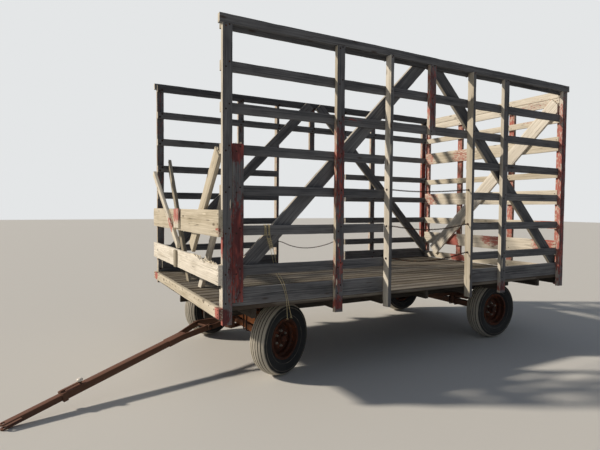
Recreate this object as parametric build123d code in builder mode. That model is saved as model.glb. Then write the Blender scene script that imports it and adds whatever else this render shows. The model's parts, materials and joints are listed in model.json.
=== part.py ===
from build123d import *
import math
import os

# Hay wagon: a slatted wooden rack and plank deck on a four-wheel steered running gear.
# Millimetres. X runs forward to the tongue, Y to the wagon's left, Z up.
# The origin is the centre of the deck's upper face.

# Deck
deck_length = 4800.0
deck_width = 2590.0
plank_thick = 38.0
plank_count = 17
plank_gap = 5.0
cross_sill_thick = 45.0
cross_sill_height = 89.0
door_sill_offset = 20.0
front_sill_setback = 315.0
rear_sill_setback = 450.0
main_sill_thick = 45.0
main_sill_height = 150.0
main_sill_spread = 960.0
main_sill_front_setback = 100.0
end_board_thick = 38.0
end_board_height = 94.0

# Rack
board_thick = 38.0
rail_height = 89.0
rail_pitch = 356.5
rail_count = 7
first_rail_height = 270.0
through_rail_count = 3
side_board_height = 158.0
post_height = 2441.0
post_drop = 150.0
post_wide = 89.0
post_deep = 45.0
door_post_wide = 40.0
door_post_deep = 85.0
door_width = 1160.0
inner_post_reach = 1200.0
stub_post_lap = 10.0
cap_height = 76.0
cap_deep = 52.0
cap_overhang = 30.0
brace_wide = 89.0
brace_foot_height = 200.0
brace_foot_setback = 140.0
brace_head_offset = 60.0
rear_post_reach = 495.0
rear_brace_wide = 190.0
fitting_gap = 5.0
gusset_wide = 100.0
gusset_foot = 40.0
gusset_top = 1430.0
rear_brace_foot_setback = 290.0
rear_brace_foot_height = 140.0
rear_brace_head_setback = 60.0
rear_brace_head_height = 2300.0

# Front rack
front_board_height = 235.0
front_upper_height = 619.0
front_lower_height = 202.0
front_brace_setback = 115.0
knee_brace_setback = 140.0
cleat_wide = 95.0
cleat_height = 190.0
cleat_thick = 24.0
cleat_y = -110.0

# Wheels
tyre_diameter = 744.0
tyre_section = 206.0
bead_diameter = 381.0
rim_flange_diameter = 418.0
rim_width = 152.0
well_depth = 26.0
rim_sheet = 5.0
disc_thick = 8.0
spindle_diameter = 40.0
spindle_overrun = 45.0
hub_diameter = 110.0
hub_length = 120.0
hub_cap_diameter = 76.0
tyre_clearance = 48.0
tyre_gap = 0.3

# Rim section: how far each bend lies from the rim's edges, and how far the inner face's bends lie past them
outer_shelf = 46.0
inner_shelf = 38.0
well_slope = 14.0
bend_offset = 2.0

# Disc section: radii of its bends on the front and the back, and the dish's depth there
disc_bore = 40.0
disc_flat = 100.0
disc_flat_back = 96.0
disc_bend = 125.0
disc_bend_back = 120.0
disc_dish = 14.0
disc_dish_back = 21.0
disc_foot = 20.0
disc_lap = 2.0

# Hub cap section: distances outward from the disc
hub_front = 30.0
cap_foot = 36.0
cap_hollow = 56.0
cap_shoulder = 58.0
cap_round = 10.0

# Tyre section
tread_drop = 22.0
bulge_depth = 78.0
shoulder_inset = 14.0
wall_foot_rise = 22.0
wall_foot_inset = 8.0
bead_inset = 12.0

# Running gear
front_axle_x = 1715.0
rear_axle_x = -1500.0
track = 1840.0
kingpin_spread = 1440.0
kingpin_diameter = 28.0
steer_angle = 24.0
axle_tube = 74.0
axle_tube_setback = 130.0
ear_thick = 14.0
ear_radius = 30.0
ear_inset = 48.0
ear_lap = 2.0
gear_gap = 6.0
plate_thick = 12.0
pivot_diameter = 40.0
bolster_wide = 100.0
bolster_length = 1120.0
stake_thick = 12.0
stake_foot = 80.0
stake_head = 46.0
stake_gap = 10.0
saddle_height = 30.0
saddle_spread = 600.0
saddle_long = 90.0
reach_size = 70.0
hound_long = 900.0
hound_spread = 860.0
hound_thick = 40.0
hound_wide = 50.0
pin_clearance = 0.1

# Steering
arm_reach = 170.0
arm_rim = 2.0
housing_gap = 1.0
rod_pin_diameter = 20.0
rod_thick = 20.0
rod_eye_diameter = 44.0
rod_gap = 6.0
yoke_wide = 110.0
yoke_tail = 60.0

# Tongue
yoke_reach = 575.0
hinge_height = 420.0
hinge_pin_diameter = 24.0
fork_wide = 260.0
fork_strap = 14.0
fork_tall = 52.0
fork_root = 20.0
fork_crotch = 100.0
fork_crotch_wide = 80.0
fork_bend = 60.0
fork_bend_inside = 64.0
tongue_length = 2000.0
outer_bar_wide = 70.0
outer_bar_tall = 60.0
bar_wall = 5.0
bar_slack = 0.5
bar_start = 260.0
eye_strap = 18.0
eye_diameter = 60.0
strap_bend = 60.0
fork_start = 300.0
fork_joint = 480.0
collar_from_tip = 440.0
collar_long = 40.0
collar_wall = 8.0
latch_long = 190.0
latch_wide = 26.0
latch_thick = 8.0
latch_rise = 16.0
latch_lap = 1.0
knob_diameter = 30.0
extension_start = 820.0
clevis_length = 130.0
clevis_lap = 20.0
hitch_pin_diameter = 26.0

deck_height = tyre_diameter + tyre_clearance + plank_thick
half_length = deck_length / 2
half_width = deck_width / 2
plank_pitch = deck_width / plank_count
sill_top = -plank_thick
main_sill_top = sill_top - cross_sill_height
bolster_top = main_sill_top - main_sill_height
axle_height = tyre_diameter / 2 - deck_height
sides = ((1, "left"), (-1, "right"))

pieces = {}


def within(base, plane):
    """A plane that is given in another plane's coordinates."""
    return Plane(base.location * plane.location)


def elevation(offset, normal_y=-1):
    """An upright plane along the wagon, its x forward and its y up."""
    return Plane(origin=(0, offset, 0), x_dir=(1, 0, 0), z_dir=(0, normal_y, 0))


def board(foot, head, wide):
    """In a sketch, a straight board between two points of its middle line."""
    run = head - foot
    with Locations((foot + head) * 0.5):
        Rectangle(run.length, wide, rotation=math.degrees(math.atan2(run.Y, run.X)))


# Deck: lengthwise planks on crosswise sills, which lie on two main sills.
with BuildPart() as deck_planks:
    with BuildSketch():
        with GridLocations(1, plank_pitch, 1, plank_count):
            Rectangle(deck_length, plank_pitch - plank_gap)
    extrude(amount=-plank_thick)
pieces["deck_planks"] = deck_planks

end_sill_x = half_length - cross_sill_thick / 2
door_post_x = door_width / 2 + door_post_wide / 2
door_sill_x = door_post_x + door_sill_offset
cross_sill_places = (-end_sill_x, rear_sill_setback - half_length, -inner_post_reach, -door_sill_x, 0,
                     door_sill_x, inner_post_reach, half_length - front_sill_setback, end_sill_x)
with BuildPart() as cross_sills:
    with BuildSketch(Plane.XY.offset(sill_top)):
        with Locations(*[(x, 0) for x in cross_sill_places]):
            Rectangle(cross_sill_thick, deck_width)
    extrude(amount=-cross_sill_height)
pieces["cross_sills"] = cross_sills

with BuildPart() as main_sills:
    main_sill_length = deck_length - main_sill_front_setback
    with BuildSketch(Plane.XY.offset(main_sill_top)):
        with Locations((-main_sill_front_setback / 2, 0)):
            with GridLocations(1, main_sill_spread, 1, 2):
                Rectangle(main_sill_length, main_sill_thick)
    extrude(amount=-main_sill_height)
pieces["main_sills"] = main_sills

front_width = deck_width + 2 * post_deep
with BuildPart() as front_end_board:
    with BuildSketch(Plane.XY.offset(-end_board_height)):
        with Locations((half_length + end_board_thick / 2, 0)):
            Rectangle(end_board_thick, front_width)
    extrude(amount=end_board_height)
pieces["front_end_board"] = front_end_board

# Side walls: posts stand outside the rails, a door is left open in the middle.
corner_post_x = half_length - post_wide / 2
rail_heights = [first_rail_height + i * rail_pitch for i in range(rail_count)]
stub_low = rail_heights[rail_count - through_rail_count] - stub_post_lap

# Each post: place along the wall, width, depth, lower end, upper end
side_posts = (
    (-corner_post_x, post_wide, post_deep, -post_drop, post_height),
    (-inner_post_reach, post_wide, post_deep, -post_drop, post_height),
    (-door_post_x, door_post_wide, door_post_deep, -post_drop, post_height),
    (0, post_wide, post_deep, stub_low, post_height),
    (door_post_x, door_post_wide, door_post_deep, -post_drop, post_height),
    (inner_post_reach, post_wide, post_deep, -post_drop, post_height),
    (corner_post_x, post_wide, post_deep, -post_drop, post_height),
)
# The left wall's extra board beside its front corner post
gusset_x = corner_post_x - post_wide - 2 * fitting_gap
gusset_board = (gusset_x, gusset_wide, post_deep, gusset_foot, gusset_top)
door_edge = door_width / 2 + door_post_wide
span = half_length - door_edge

for side, side_name in sides:
    wall = elevation(side * half_width)
    inner_wall = elevation(side * (half_width - board_thick))
    posts = side_posts + ((gusset_board,) if side > 0 else ())
    with BuildPart() as wall_posts:
        for x, wide, deep, low, high in posts:
            with BuildSketch(wall):
                with Locations((x, (low + high) / 2)):
                    Rectangle(wide, high - low)
            extrude(amount=-side * deep)
    pieces[side_name + "_posts"] = wall_posts

    with BuildPart() as wall_rails:
        with BuildSketch(wall):
            for i, low in enumerate(rail_heights):
                middle = low + rail_height / 2
                if i < rail_count - through_rail_count:
                    with Locations((door_edge + span / 2, middle), (-door_edge - span / 2, middle)):
                        Rectangle(span, rail_height)
                else:
                    with Locations((0, middle)):
                        Rectangle(deck_length, rail_height)
        extrude(amount=side * board_thick)
    pieces[side_name + "_rails"] = wall_rails

    with BuildPart() as wall_side_boards:
        with BuildSketch(wall):
            for x in (door_edge + span / 2, -door_edge - span / 2):
                with Locations((x, side_board_height / 2)):
                    Rectangle(span, side_board_height)
        extrude(amount=side * board_thick)
    pieces[side_name + "_side_boards"] = wall_side_boards

    with BuildPart() as wall_cap:
        with BuildSketch(Plane.XY.offset(post_height)):
            with Locations((0, side * (half_width + cap_deep / 2))):
                Rectangle(deck_length + 2 * cap_overhang, cap_deep)
        extrude(amount=cap_height)
    pieces[side_name + "_cap"] = wall_cap

    with BuildPart() as wall_braces:
        with BuildSketch(inner_wall):
            for end in (1, -1):
                board(Vector(end * (half_length - brace_foot_setback), brace_foot_height),
                      Vector(end * brace_head_offset, rail_heights[-1] + rail_height / 2), brace_wide)
        extrude(amount=side * board_thick)
    pieces[side_name + "_braces"] = wall_braces

# Rear wall: wide and narrow boards by turns on the inside of four posts, and one wide diagonal.
rear_wall = Plane(origin=(-half_length, 0, 0), x_dir=(0, 1, 0), z_dir=(1, 0, 0))
inner_width = deck_width - 2 * board_thick
corner_post_y = half_width - post_wide / 2
with BuildPart() as rear_posts:
    with BuildSketch(rear_wall):
        for y in (-corner_post_y, -rear_post_reach, rear_post_reach, corner_post_y):
            with Locations((y, (post_height - post_drop) / 2)):
                Rectangle(post_wide, post_height + post_drop)
    extrude(amount=-post_deep)
pieces["rear_posts"] = rear_posts

# Each rear board: lower edge, height
rear_board_table = (
    (10, 100), (258, 195), (612, 105), (945, 195), (1305, 85), (1668, 192), (2043, 82), (2276, 100), (2384, 88),
)
with BuildPart() as rear_boards:
    with BuildSketch(rear_wall):
        for low, high in rear_board_table:
            with Locations((0, low + high / 2)):
                Rectangle(inner_width, high)
    extrude(amount=board_thick)
pieces["rear_boards"] = rear_boards

with BuildPart() as rear_brace:
    with BuildSketch(rear_wall.offset(board_thick)):
        board(Vector(rear_brace_foot_setback - half_width, rear_brace_foot_height),
              Vector(half_width - rear_brace_head_setback, rear_brace_head_height), rear_brace_wide)
        with Locations((0, post_height / 2)):
            Rectangle(inner_width - 2 * fitting_gap, post_height, mode=Mode.INTERSECT)
    extrude(amount=board_thick)
pieces["rear_brace"] = rear_brace

# Front rack: two wide boards on the front of the corner posts, the lower one broken.
front_wall = Plane(origin=(half_length, 0, 0), x_dir=(0, 1, 0), z_dir=(1, 0, 0))
with BuildPart() as front_upper_board:
    with BuildSketch(front_wall):
        with Locations((0, front_upper_height + front_board_height / 2)):
            Rectangle(front_width, front_board_height)
    extrude(amount=board_thick)
pieces["front_upper_board"] = front_upper_board

# The ragged upper edge of the broken stretch: distance from the near end, height left standing
break_edge = ((730, 235), (700, 205), (640, 190), (550, 165), (490, 182), (410, 150),
              (330, 175), (220, 168), (0, 175))
with BuildPart() as front_lower_board:
    with BuildSketch(front_wall):
        with BuildLine():
            Polyline(
                (-front_width / 2, front_lower_height + front_board_height),
                (-front_width / 2, front_lower_height),
                (front_width / 2, front_lower_height),
                *[(front_width / 2 - reach, front_lower_height + high) for reach, high in reversed(break_edge)],
                close=True,
            )
        make_face()
    extrude(amount=board_thick)
pieces["front_lower_board"] = front_lower_board

# Front braces: plane, foot across, foot height, head across, head height, width
front_brace_reach = half_width - front_brace_setback
front_brace_table = (
    (front_wall.offset(board_thick), 60, 450, -front_brace_reach, 1310, 70),
    (front_wall.offset(-board_thick), 330, 455, front_brace_reach, 1370, 89),
)
# Knee braces from the deck to the side rails: side, foot across, head height
knee_brace_table = ((-1, -300, 1430), (1, 180, 1450))
with BuildPart() as front_braces:
    for plane, foot_y, foot_z, head_y, head_z, wide in front_brace_table:
        with BuildSketch(plane):
            board(Vector(foot_y, foot_z), Vector(head_y, head_z), wide)
        extrude(amount=board_thick)
    with BuildSketch(front_wall.offset(-knee_brace_setback)):
        for side, foot_y, head_z in knee_brace_table:
            wall_y = side * (half_width - board_thick)
            tilt = math.atan2(head_z, abs(wall_y - foot_y))
            across = brace_wide / 2 / math.sin(tilt)
            upward = brace_wide / 2 / math.cos(tilt)
            with BuildLine():
                Polyline((foot_y - across, 0), (foot_y + across, 0), (wall_y, head_z - side * upward),
                         (wall_y, head_z + side * upward), close=True)
            make_face()
    extrude(amount=-board_thick)
    with BuildSketch(front_wall.offset(board_thick)):
        with Locations((cleat_y, front_lower_height + cleat_height / 2)):
            Rectangle(cleat_wide, cleat_height)
    extrude(amount=cleat_thick)
pieces["front_braces"] = front_braces


# An arc's setback at a bend, as a share of the shorter run beside it
bend_share = 0.45


def hanging(route, diameter, name):
    """A tube along straight runs joined by arcs as large as the runs allow."""
    points = [Vector(*p) for p in route]
    radii = []
    for before, point, after in zip(points, points[1:], points[2:]):
        turn = math.radians((point - before).get_angle(after - point))
        shorter = min((point - before).length, (after - point).length)
        radii.append(bend_share * shorter / math.tan(turn / 2))
    with BuildPart() as tube:
        with BuildLine() as path:
            FilletPolyline(*points, radius=radii)
        with BuildSketch(Plane(origin=path.wire() @ 0, z_dir=path.wire() % 0)):
            Circle(diameter / 2)
        sweep()
    length = path.wire().length
    print(name, "length", round(length), "radii", [round(r) for r in radii],
          "volume ratio", round(tube.part.volume / (length * math.pi * diameter ** 2 / 4), 4))
    pieces[name] = tube


# Chains that hang across the doors: side, then the points of the route along the wall
door_half = door_width / 2
chain_diameter = 18.0
chain_routes = {
    "upper_chain": (1, ((-door_half, 1095), (-540, 1095), (-330, 1078), (-90, 1064),
                        (150, 1058), (380, 1061), (540, 1070), (door_half, 1070))),
    "middle_chain": (1, ((-door_half, 700), (-540, 700), (-330, 664), (-90, 644),
                         (150, 646), (380, 668), (540, 691), (door_half, 691))),
    "lower_chain": (1, ((-door_half, 372), (-540, 372), (-330, 330), (-90, 304),
                        (150, 300), (380, 322), (540, 354), (door_half, 354))),
    "right_chain": (-1, ((-door_half, 350), (-530, 350), (-360, 286), (-110, 236),
                         (130, 230), (350, 274), (530, 355), (door_half, 355))),
}
for chain_name, (side, route) in chain_routes.items():
    y = side * (half_width + door_post_deep / 2)
    hanging([(x, y, z) for x, z in route], chain_diameter, chain_name)

# Two strands of baler twine tied on the left wall's second rail, behind the first rail and over
# the side board. Each point: place along the wall, distance outside the rails' face, height
twine_diameter = 5.0
twine_routes = {
    "front_twine": ((1978, -17, 718.3), (1978, -4, 721.5), (1977, 8, 715), (1975, 9, 690), (1971, 7, 648),
                    (1960, 8, 596), (1942, 5, 545), (1923, -5, 494), (1902, -24, 444), (1883, -41, 396),
                    (1865, -49, 345), (1853, -52, 299), (1843, -49, 256), (1831, -27, 221), (1815, 3, 184),
                    (1798, 11, 138), (1781, 9, 90), (1768, 10, 40), (1760, 8, -12), (1757, 10, -66),
                    (1755, 8, -118), (1750, 7, -165)),
    "rear_twine": ((1944, -18, 718.3), (1943, -5, 721.5), (1942, 8, 716), (1940, 9, 692), (1938, 8, 650),
                   (1931, 7, 598), (1916, 6, 548), (1896, -5, 498), (1873, -25, 449), (1855, -42, 399),
                   (1841, -49, 348), (1829, -52, 300), (1816, -49, 257), (1803, -26, 221), (1791, 3, 184),
                   (1779, 11, 138), (1766, 9, 88), (1752, 8, 38), (1741, 10, -14), (1731, 8, -66),
                   (1719, 9, -112), (1709, 7, -150)),
}
for twine_name, route in twine_routes.items():
    hanging([(x, half_width + out, z) for x, out, z in route], twine_diameter, twine_name)

# Axles: square tubes with forked ends in front and plain spindles behind.
axle_top = axle_height + axle_tube / 2
axle_bottom = axle_height - axle_tube / 2
bolster_bottom = axle_top + saddle_height
kingpin_y = kingpin_spread / 2
front_axle = Plane(origin=(front_axle_x, 0, axle_height))
rear_axle = Plane(origin=(rear_axle_x, 0, axle_height))
yoke_top = axle_top + gear_gap
yoke_bottom = axle_bottom - gear_gap - plate_thick
pivot_head = 10.0
fork_block = 40.0

with BuildPart() as front_axle_beam:
    with BuildSketch(within(front_axle, Plane.XZ.offset(-kingpin_y + ear_inset))):
        Rectangle(axle_tube, axle_tube)
    extrude(amount=kingpin_spread - 2 * ear_inset)
    for end in (1, -1):
        with BuildSketch(within(front_axle, Plane.XY.offset(-axle_tube / 2))):
            with Locations((0, end * (kingpin_y - fork_block))):
                Rectangle(fork_block, fork_block / 2)
        extrude(amount=axle_tube)
        for low in (-axle_tube / 2, axle_tube / 2 - ear_thick):
            with BuildSketch(within(front_axle, Plane.XY.offset(low))):
                with BuildLine():
                    ear_root = end * (kingpin_y - ear_inset - ear_lap)
                    Polyline((-fork_block / 2, ear_root), (-ear_radius, end * kingpin_y),
                             (ear_radius, end * kingpin_y), (fork_block / 2, ear_root), close=True)
                make_face()
                with Locations((0, end * kingpin_y)):
                    Circle(ear_radius)
                    Circle(kingpin_diameter / 2 + pin_clearance, mode=Mode.SUBTRACT)
            extrude(amount=ear_thick)
        with BuildSketch(within(front_axle, Plane.XY.offset(axle_tube / 2))):
            with Locations((0, end * saddle_spread / 2)):
                Rectangle(bolster_wide, saddle_long)
        extrude(amount=saddle_height)
    with BuildSketch(Plane(origin=(front_axle_x, 0, yoke_bottom - pivot_head))):
        Circle(pivot_diameter / 2)
    extrude(amount=bolster_bottom - yoke_bottom + pivot_head)
pieces["front_axle_beam"] = front_axle_beam

spindle_end = track / 2 + spindle_overrun
rear_tube_end = track / 2 - axle_tube_setback
with BuildPart() as rear_axle_beam:
    with BuildSketch(within(rear_axle, Plane.XZ.offset(-rear_tube_end))):
        Rectangle(axle_tube, axle_tube)
    extrude(amount=2 * rear_tube_end)
    with BuildSketch(within(rear_axle, Plane.XZ.offset(-spindle_end))):
        Circle(spindle_diameter / 2)
    extrude(amount=2 * spindle_end)
    with BuildSketch(within(rear_axle, Plane.XY.offset(axle_tube / 2))):
        with GridLocations(1, saddle_spread, 1, 2):
            Rectangle(bolster_wide, saddle_long)
    extrude(amount=saddle_height)
pieces["rear_axle_beam"] = rear_axle_beam

# Bolsters carry the main sills between upright stakes, which taper to their heads.
stake_y = main_sill_spread / 2 + main_sill_thick / 2
stake_height = main_sill_height - stake_gap
for axle_x, gear_name in ((front_axle_x, "front"), (rear_axle_x, "rear")):
    with BuildPart() as bolster:
        with BuildSketch(Plane(origin=(axle_x, 0, bolster_bottom))):
            Rectangle(bolster_wide, bolster_length)
        extrude(amount=bolster_top - bolster_bottom)
        for side in (1, -1):
            with BuildSketch(elevation(side * stake_y)):
                with BuildLine():
                    Polyline((axle_x - stake_foot / 2, bolster_top), (axle_x + stake_foot / 2, bolster_top),
                             (axle_x + stake_head / 2, bolster_top + stake_height),
                             (axle_x - stake_head / 2, bolster_top + stake_height), close=True)
                make_face()
            extrude(amount=-side * stake_thick)
    pieces[gear_name + "_bolster"] = bolster

reach_front = front_axle_x - bolster_wide / 2
reach_back = rear_axle_x + bolster_wide / 2
reach_z = (bolster_top + bolster_bottom) / 2
with BuildPart() as reach:
    with BuildSketch(Plane(origin=((reach_front + reach_back) / 2, 0, reach_z - reach_size / 2))):
        Rectangle(reach_front - reach_back, reach_size)
    extrude(amount=reach_size)
pieces["reach"] = reach

with BuildPart() as rear_hounds:
    with BuildSketch(Plane.XY.offset(reach_z - hound_thick / 2)):
        for side in (1, -1):
            foot_y = side * hound_spread / 2
            with BuildLine():
                Polyline((reach_back, foot_y - side * hound_wide / 2),
                         (reach_back, foot_y + side * hound_wide / 2),
                         (reach_back + hound_long, side * (reach_size / 2 + hound_wide)),
                         (reach_back + hound_long, side * reach_size / 2), close=True)
            make_face()
    extrude(amount=hound_thick)
pieces["rear_hounds"] = rear_hounds


def wheel(plane, name):
    """Rim with hub, and tyre, on a wheel whose plane's z axis points outward."""
    axis = Axis(plane.origin, plane.z_dir)
    profile = within(plane, Plane.XZ)
    flange = rim_flange_diameter / 2
    seat = bead_diameter / 2
    edge = rim_width / 2
    well = seat - well_depth
    flat = seat - rim_sheet
    bore = spindle_diameter / 2 + pin_clearance
    hub_radius = hub_diameter / 2
    cap_radius = hub_cap_diameter / 2
    cap_top = cap_shoulder + cap_round
    shelf_out = edge - outer_shelf
    shelf_in = inner_shelf - edge
    with BuildPart() as rim:
        with BuildSketch(profile):
            with BuildLine():
                Polyline((flange, edge), (flange, edge - rim_sheet), (seat, edge - 2 * rim_sheet),
                         (flat, shelf_out), (well, shelf_out - well_slope), (well, shelf_in + well_slope),
                         (flat, shelf_in), (seat, 2 * rim_sheet - edge), (flange, rim_sheet - edge),
                         (flange, -edge),
                         (seat - rim_sheet, -edge), (flat - rim_sheet, shelf_in + bend_offset),
                         (well - rim_sheet, shelf_in + well_slope + bend_offset),
                         (well - rim_sheet, shelf_out - well_slope - bend_offset),
                         (flat - rim_sheet, shelf_out - bend_offset), (seat - rim_sheet, edge), close=True)
            make_face()
        revolve(axis=axis)
        with BuildSketch(profile):
            with BuildLine():
                Polyline((disc_bore, disc_thick), (disc_flat, disc_thick), (disc_bend, -disc_dish),
                         (well - disc_lap, -disc_foot), (well - disc_lap, -disc_foot - disc_thick),
                         (disc_bend_back, -disc_dish_back), (disc_flat_back, 0), (disc_bore, 0), close=True)
            make_face()
        revolve(axis=axis)
        with BuildSketch(profile):
            with BuildLine():
                hub_inner = Line((bore, cap_hollow), (bore, -hub_length / 2))
                Line(hub_inner @ 1, (hub_radius, -hub_length / 2))
                Line((hub_radius, -hub_length / 2), (hub_radius, hub_front))
                Line((hub_radius, hub_front), (cap_radius, cap_foot))
                Line((cap_radius, cap_foot), (cap_radius, cap_shoulder))
                RadiusArc((cap_radius, cap_shoulder), (cap_radius - cap_round, cap_top), cap_round)
                Polyline((cap_radius - cap_round, cap_top), (0, cap_top), (0, cap_hollow), (bore, cap_hollow))
            make_face()
        revolve(axis=axis)
    with BuildPart() as tyre:
        bead = seat + tyre_gap
        outer = tyre_diameter / 2
        half_section = tyre_section / 2
        shoulder = (outer - tread_drop, half_section - shoulder_inset)
        bulge = outer - bulge_depth
        wall_foot = (bead + wall_foot_rise, edge - wall_foot_inset)
        bead_edge = edge - bead_inset
        far_shoulder = (shoulder[0], -shoulder[1])
        far_foot = (wall_foot[0], -wall_foot[1])
        with BuildSketch(profile):
            with BuildLine():
                Line((bead, -bead_edge), (bead, bead_edge))
                Line((bead, bead_edge), wall_foot)
                ThreePointArc(wall_foot, (bulge, half_section), shoulder)
                ThreePointArc(shoulder, (outer, 0), far_shoulder)
                ThreePointArc(far_shoulder, (bulge, -half_section), far_foot)
                Line(far_foot, (bead, -bead_edge))
            make_face()
        revolve(axis=axis)
    pieces[name + "_rim"] = rim
    pieces[name + "_tyre"] = tyre


# Rear wheels turn on the fixed spindles.
for side, side_name in sides:
    hub_place = Plane(origin=(rear_axle_x, side * track / 2, axle_height), x_dir=(1, 0, 0), z_dir=(0, side, 0))
    wheel(hub_place, "rear_" + side_name)

# Steered parts are drawn turned to the left, as the wagon stands.
heading = math.radians(steer_angle)
steered = Plane(origin=(front_axle_x, 0, 0), x_dir=(math.cos(heading), math.sin(heading), 0), z_dir=(0, 0, 1))
rod_levels = {"left": yoke_bottom - rod_gap - rod_thick, "right": yoke_bottom - 2 * rod_gap - 2 * rod_thick}
rod_pin_end = rod_levels["right"] - rod_gap / 2
arm_root = 26.0
arm_tip = 16.0
kingpin_head = 8.0
housing_low = axle_bottom + ear_thick + housing_gap
housing_high = axle_top - ear_thick - housing_gap

for side, side_name in sides:
    turned = Plane(origin=(front_axle_x, side * kingpin_y, 0), x_dir=steered.x_dir, z_dir=(0, 0, 1))
    spindle = within(turned, Plane(origin=(0, 0, axle_height), x_dir=(1, 0, 0), z_dir=(0, side, 0)))
    with BuildPart() as knuckle:
        with BuildSketch(within(turned, Plane.XY.offset(housing_low))):
            Circle(ear_radius)
        extrude(amount=housing_high - housing_low)
        with BuildSketch(within(turned, Plane.XY.offset(yoke_bottom))):
            Circle(kingpin_diameter / 2)
        extrude(amount=axle_top + kingpin_head - yoke_bottom)
        with BuildSketch(spindle):
            Circle(spindle_diameter / 2)
        extrude(amount=spindle_end - kingpin_y)
        with BuildSketch(within(turned, Plane.XY.offset(yoke_bottom))):
            with BuildLine():
                Polyline((0, arm_root), (-arm_reach, arm_tip), (-arm_reach, -arm_tip), (0, -arm_root),
                         close=True)
            make_face()
            Circle(arm_root + arm_rim)
            with Locations((-arm_reach, 0)):
                Circle(arm_tip + arm_rim)
        extrude(amount=plate_thick)
        with BuildSketch(within(turned, Plane.XY.offset(yoke_bottom))):
            with Locations((-arm_reach, 0)):
                Circle(rod_pin_diameter / 2)
        extrude(amount=rod_levels[side_name] - rod_gap / 2 - yoke_bottom)
    pieces[side_name + "_knuckle"] = knuckle
    wheel_place = within(turned, Plane(origin=(0, side * (track / 2 - kingpin_y), axle_height),
                                       x_dir=(1, 0, 0), z_dir=(0, side, 0)))
    wheel(wheel_place, "front_" + side_name)

hinge_level = hinge_height - deck_height
fork_half = fork_wide / 2
fork_tip = yoke_reach + fork_tall / 2
with BuildPart() as yoke:
    for low in (yoke_bottom, yoke_top):
        with BuildSketch(within(steered, Plane.XY.offset(low))):
            Rectangle(2 * arm_reach + yoke_tail, yoke_wide)
            Circle(pivot_diameter / 2 + pin_clearance, mode=Mode.SUBTRACT)
        extrude(amount=plate_thick)
    with BuildSketch(within(steered, Plane.XY.offset(yoke_bottom))):
        with Locations((arm_reach, 0)):
            Rectangle(yoke_tail, yoke_wide)
    extrude(amount=yoke_top + plate_thick - yoke_bottom)
    with BuildSketch(within(steered, Plane.XY.offset(hinge_level - fork_tall / 2))):
        with BuildLine():
            Polyline((arm_reach + fork_root, yoke_wide / 2), (yoke_reach - fork_bend, fork_half),
                     (fork_tip, fork_half), (fork_tip, fork_half - fork_strap),
                     (yoke_reach - fork_bend_inside, fork_half - fork_strap),
                     (arm_reach + fork_crotch, fork_crotch_wide / 2),
                     (arm_reach + fork_crotch, -fork_crotch_wide / 2),
                     (yoke_reach - fork_bend_inside, fork_strap - fork_half),
                     (fork_tip, fork_strap - fork_half), (fork_tip, -fork_half),
                     (yoke_reach - fork_bend, -fork_half),
                     (arm_reach + fork_root, -yoke_wide / 2), close=True)
        make_face()
    extrude(amount=fork_tall)
    with BuildSketch(within(steered, Plane(origin=(yoke_reach, fork_half, hinge_level), x_dir=(1, 0, 0),
                                           z_dir=(0, -1, 0)))):
        Circle(hinge_pin_diameter / 2)
    extrude(amount=fork_wide)
    with BuildSketch(within(steered, Plane.XY.offset(yoke_bottom))):
        with Locations((-arm_reach, 0)):
            Circle(rod_pin_diameter / 2)
    extrude(amount=rod_pin_end - yoke_bottom)
pieces["steering_yoke"] = yoke

pin_place = steered.from_local_coords((-arm_reach, 0, 0))
for side, side_name in sides:
    rod = Plane(origin=(pin_place.X, pin_place.Y, rod_levels[side_name]))
    with BuildPart() as tie_rod:
        with BuildSketch(rod):
            with Locations((0, side * kingpin_y / 2)):
                Rectangle(rod_thick, kingpin_y)
            with Locations((0, 0), (0, side * kingpin_y)):
                Circle(rod_eye_diameter / 2)
            with Locations((0, 0), (0, side * kingpin_y)):
                Circle(rod_pin_diameter / 2 + pin_clearance, mode=Mode.SUBTRACT)
        extrude(amount=rod_thick)
    pieces[side_name + "_tie_rod"] = tie_rod

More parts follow.
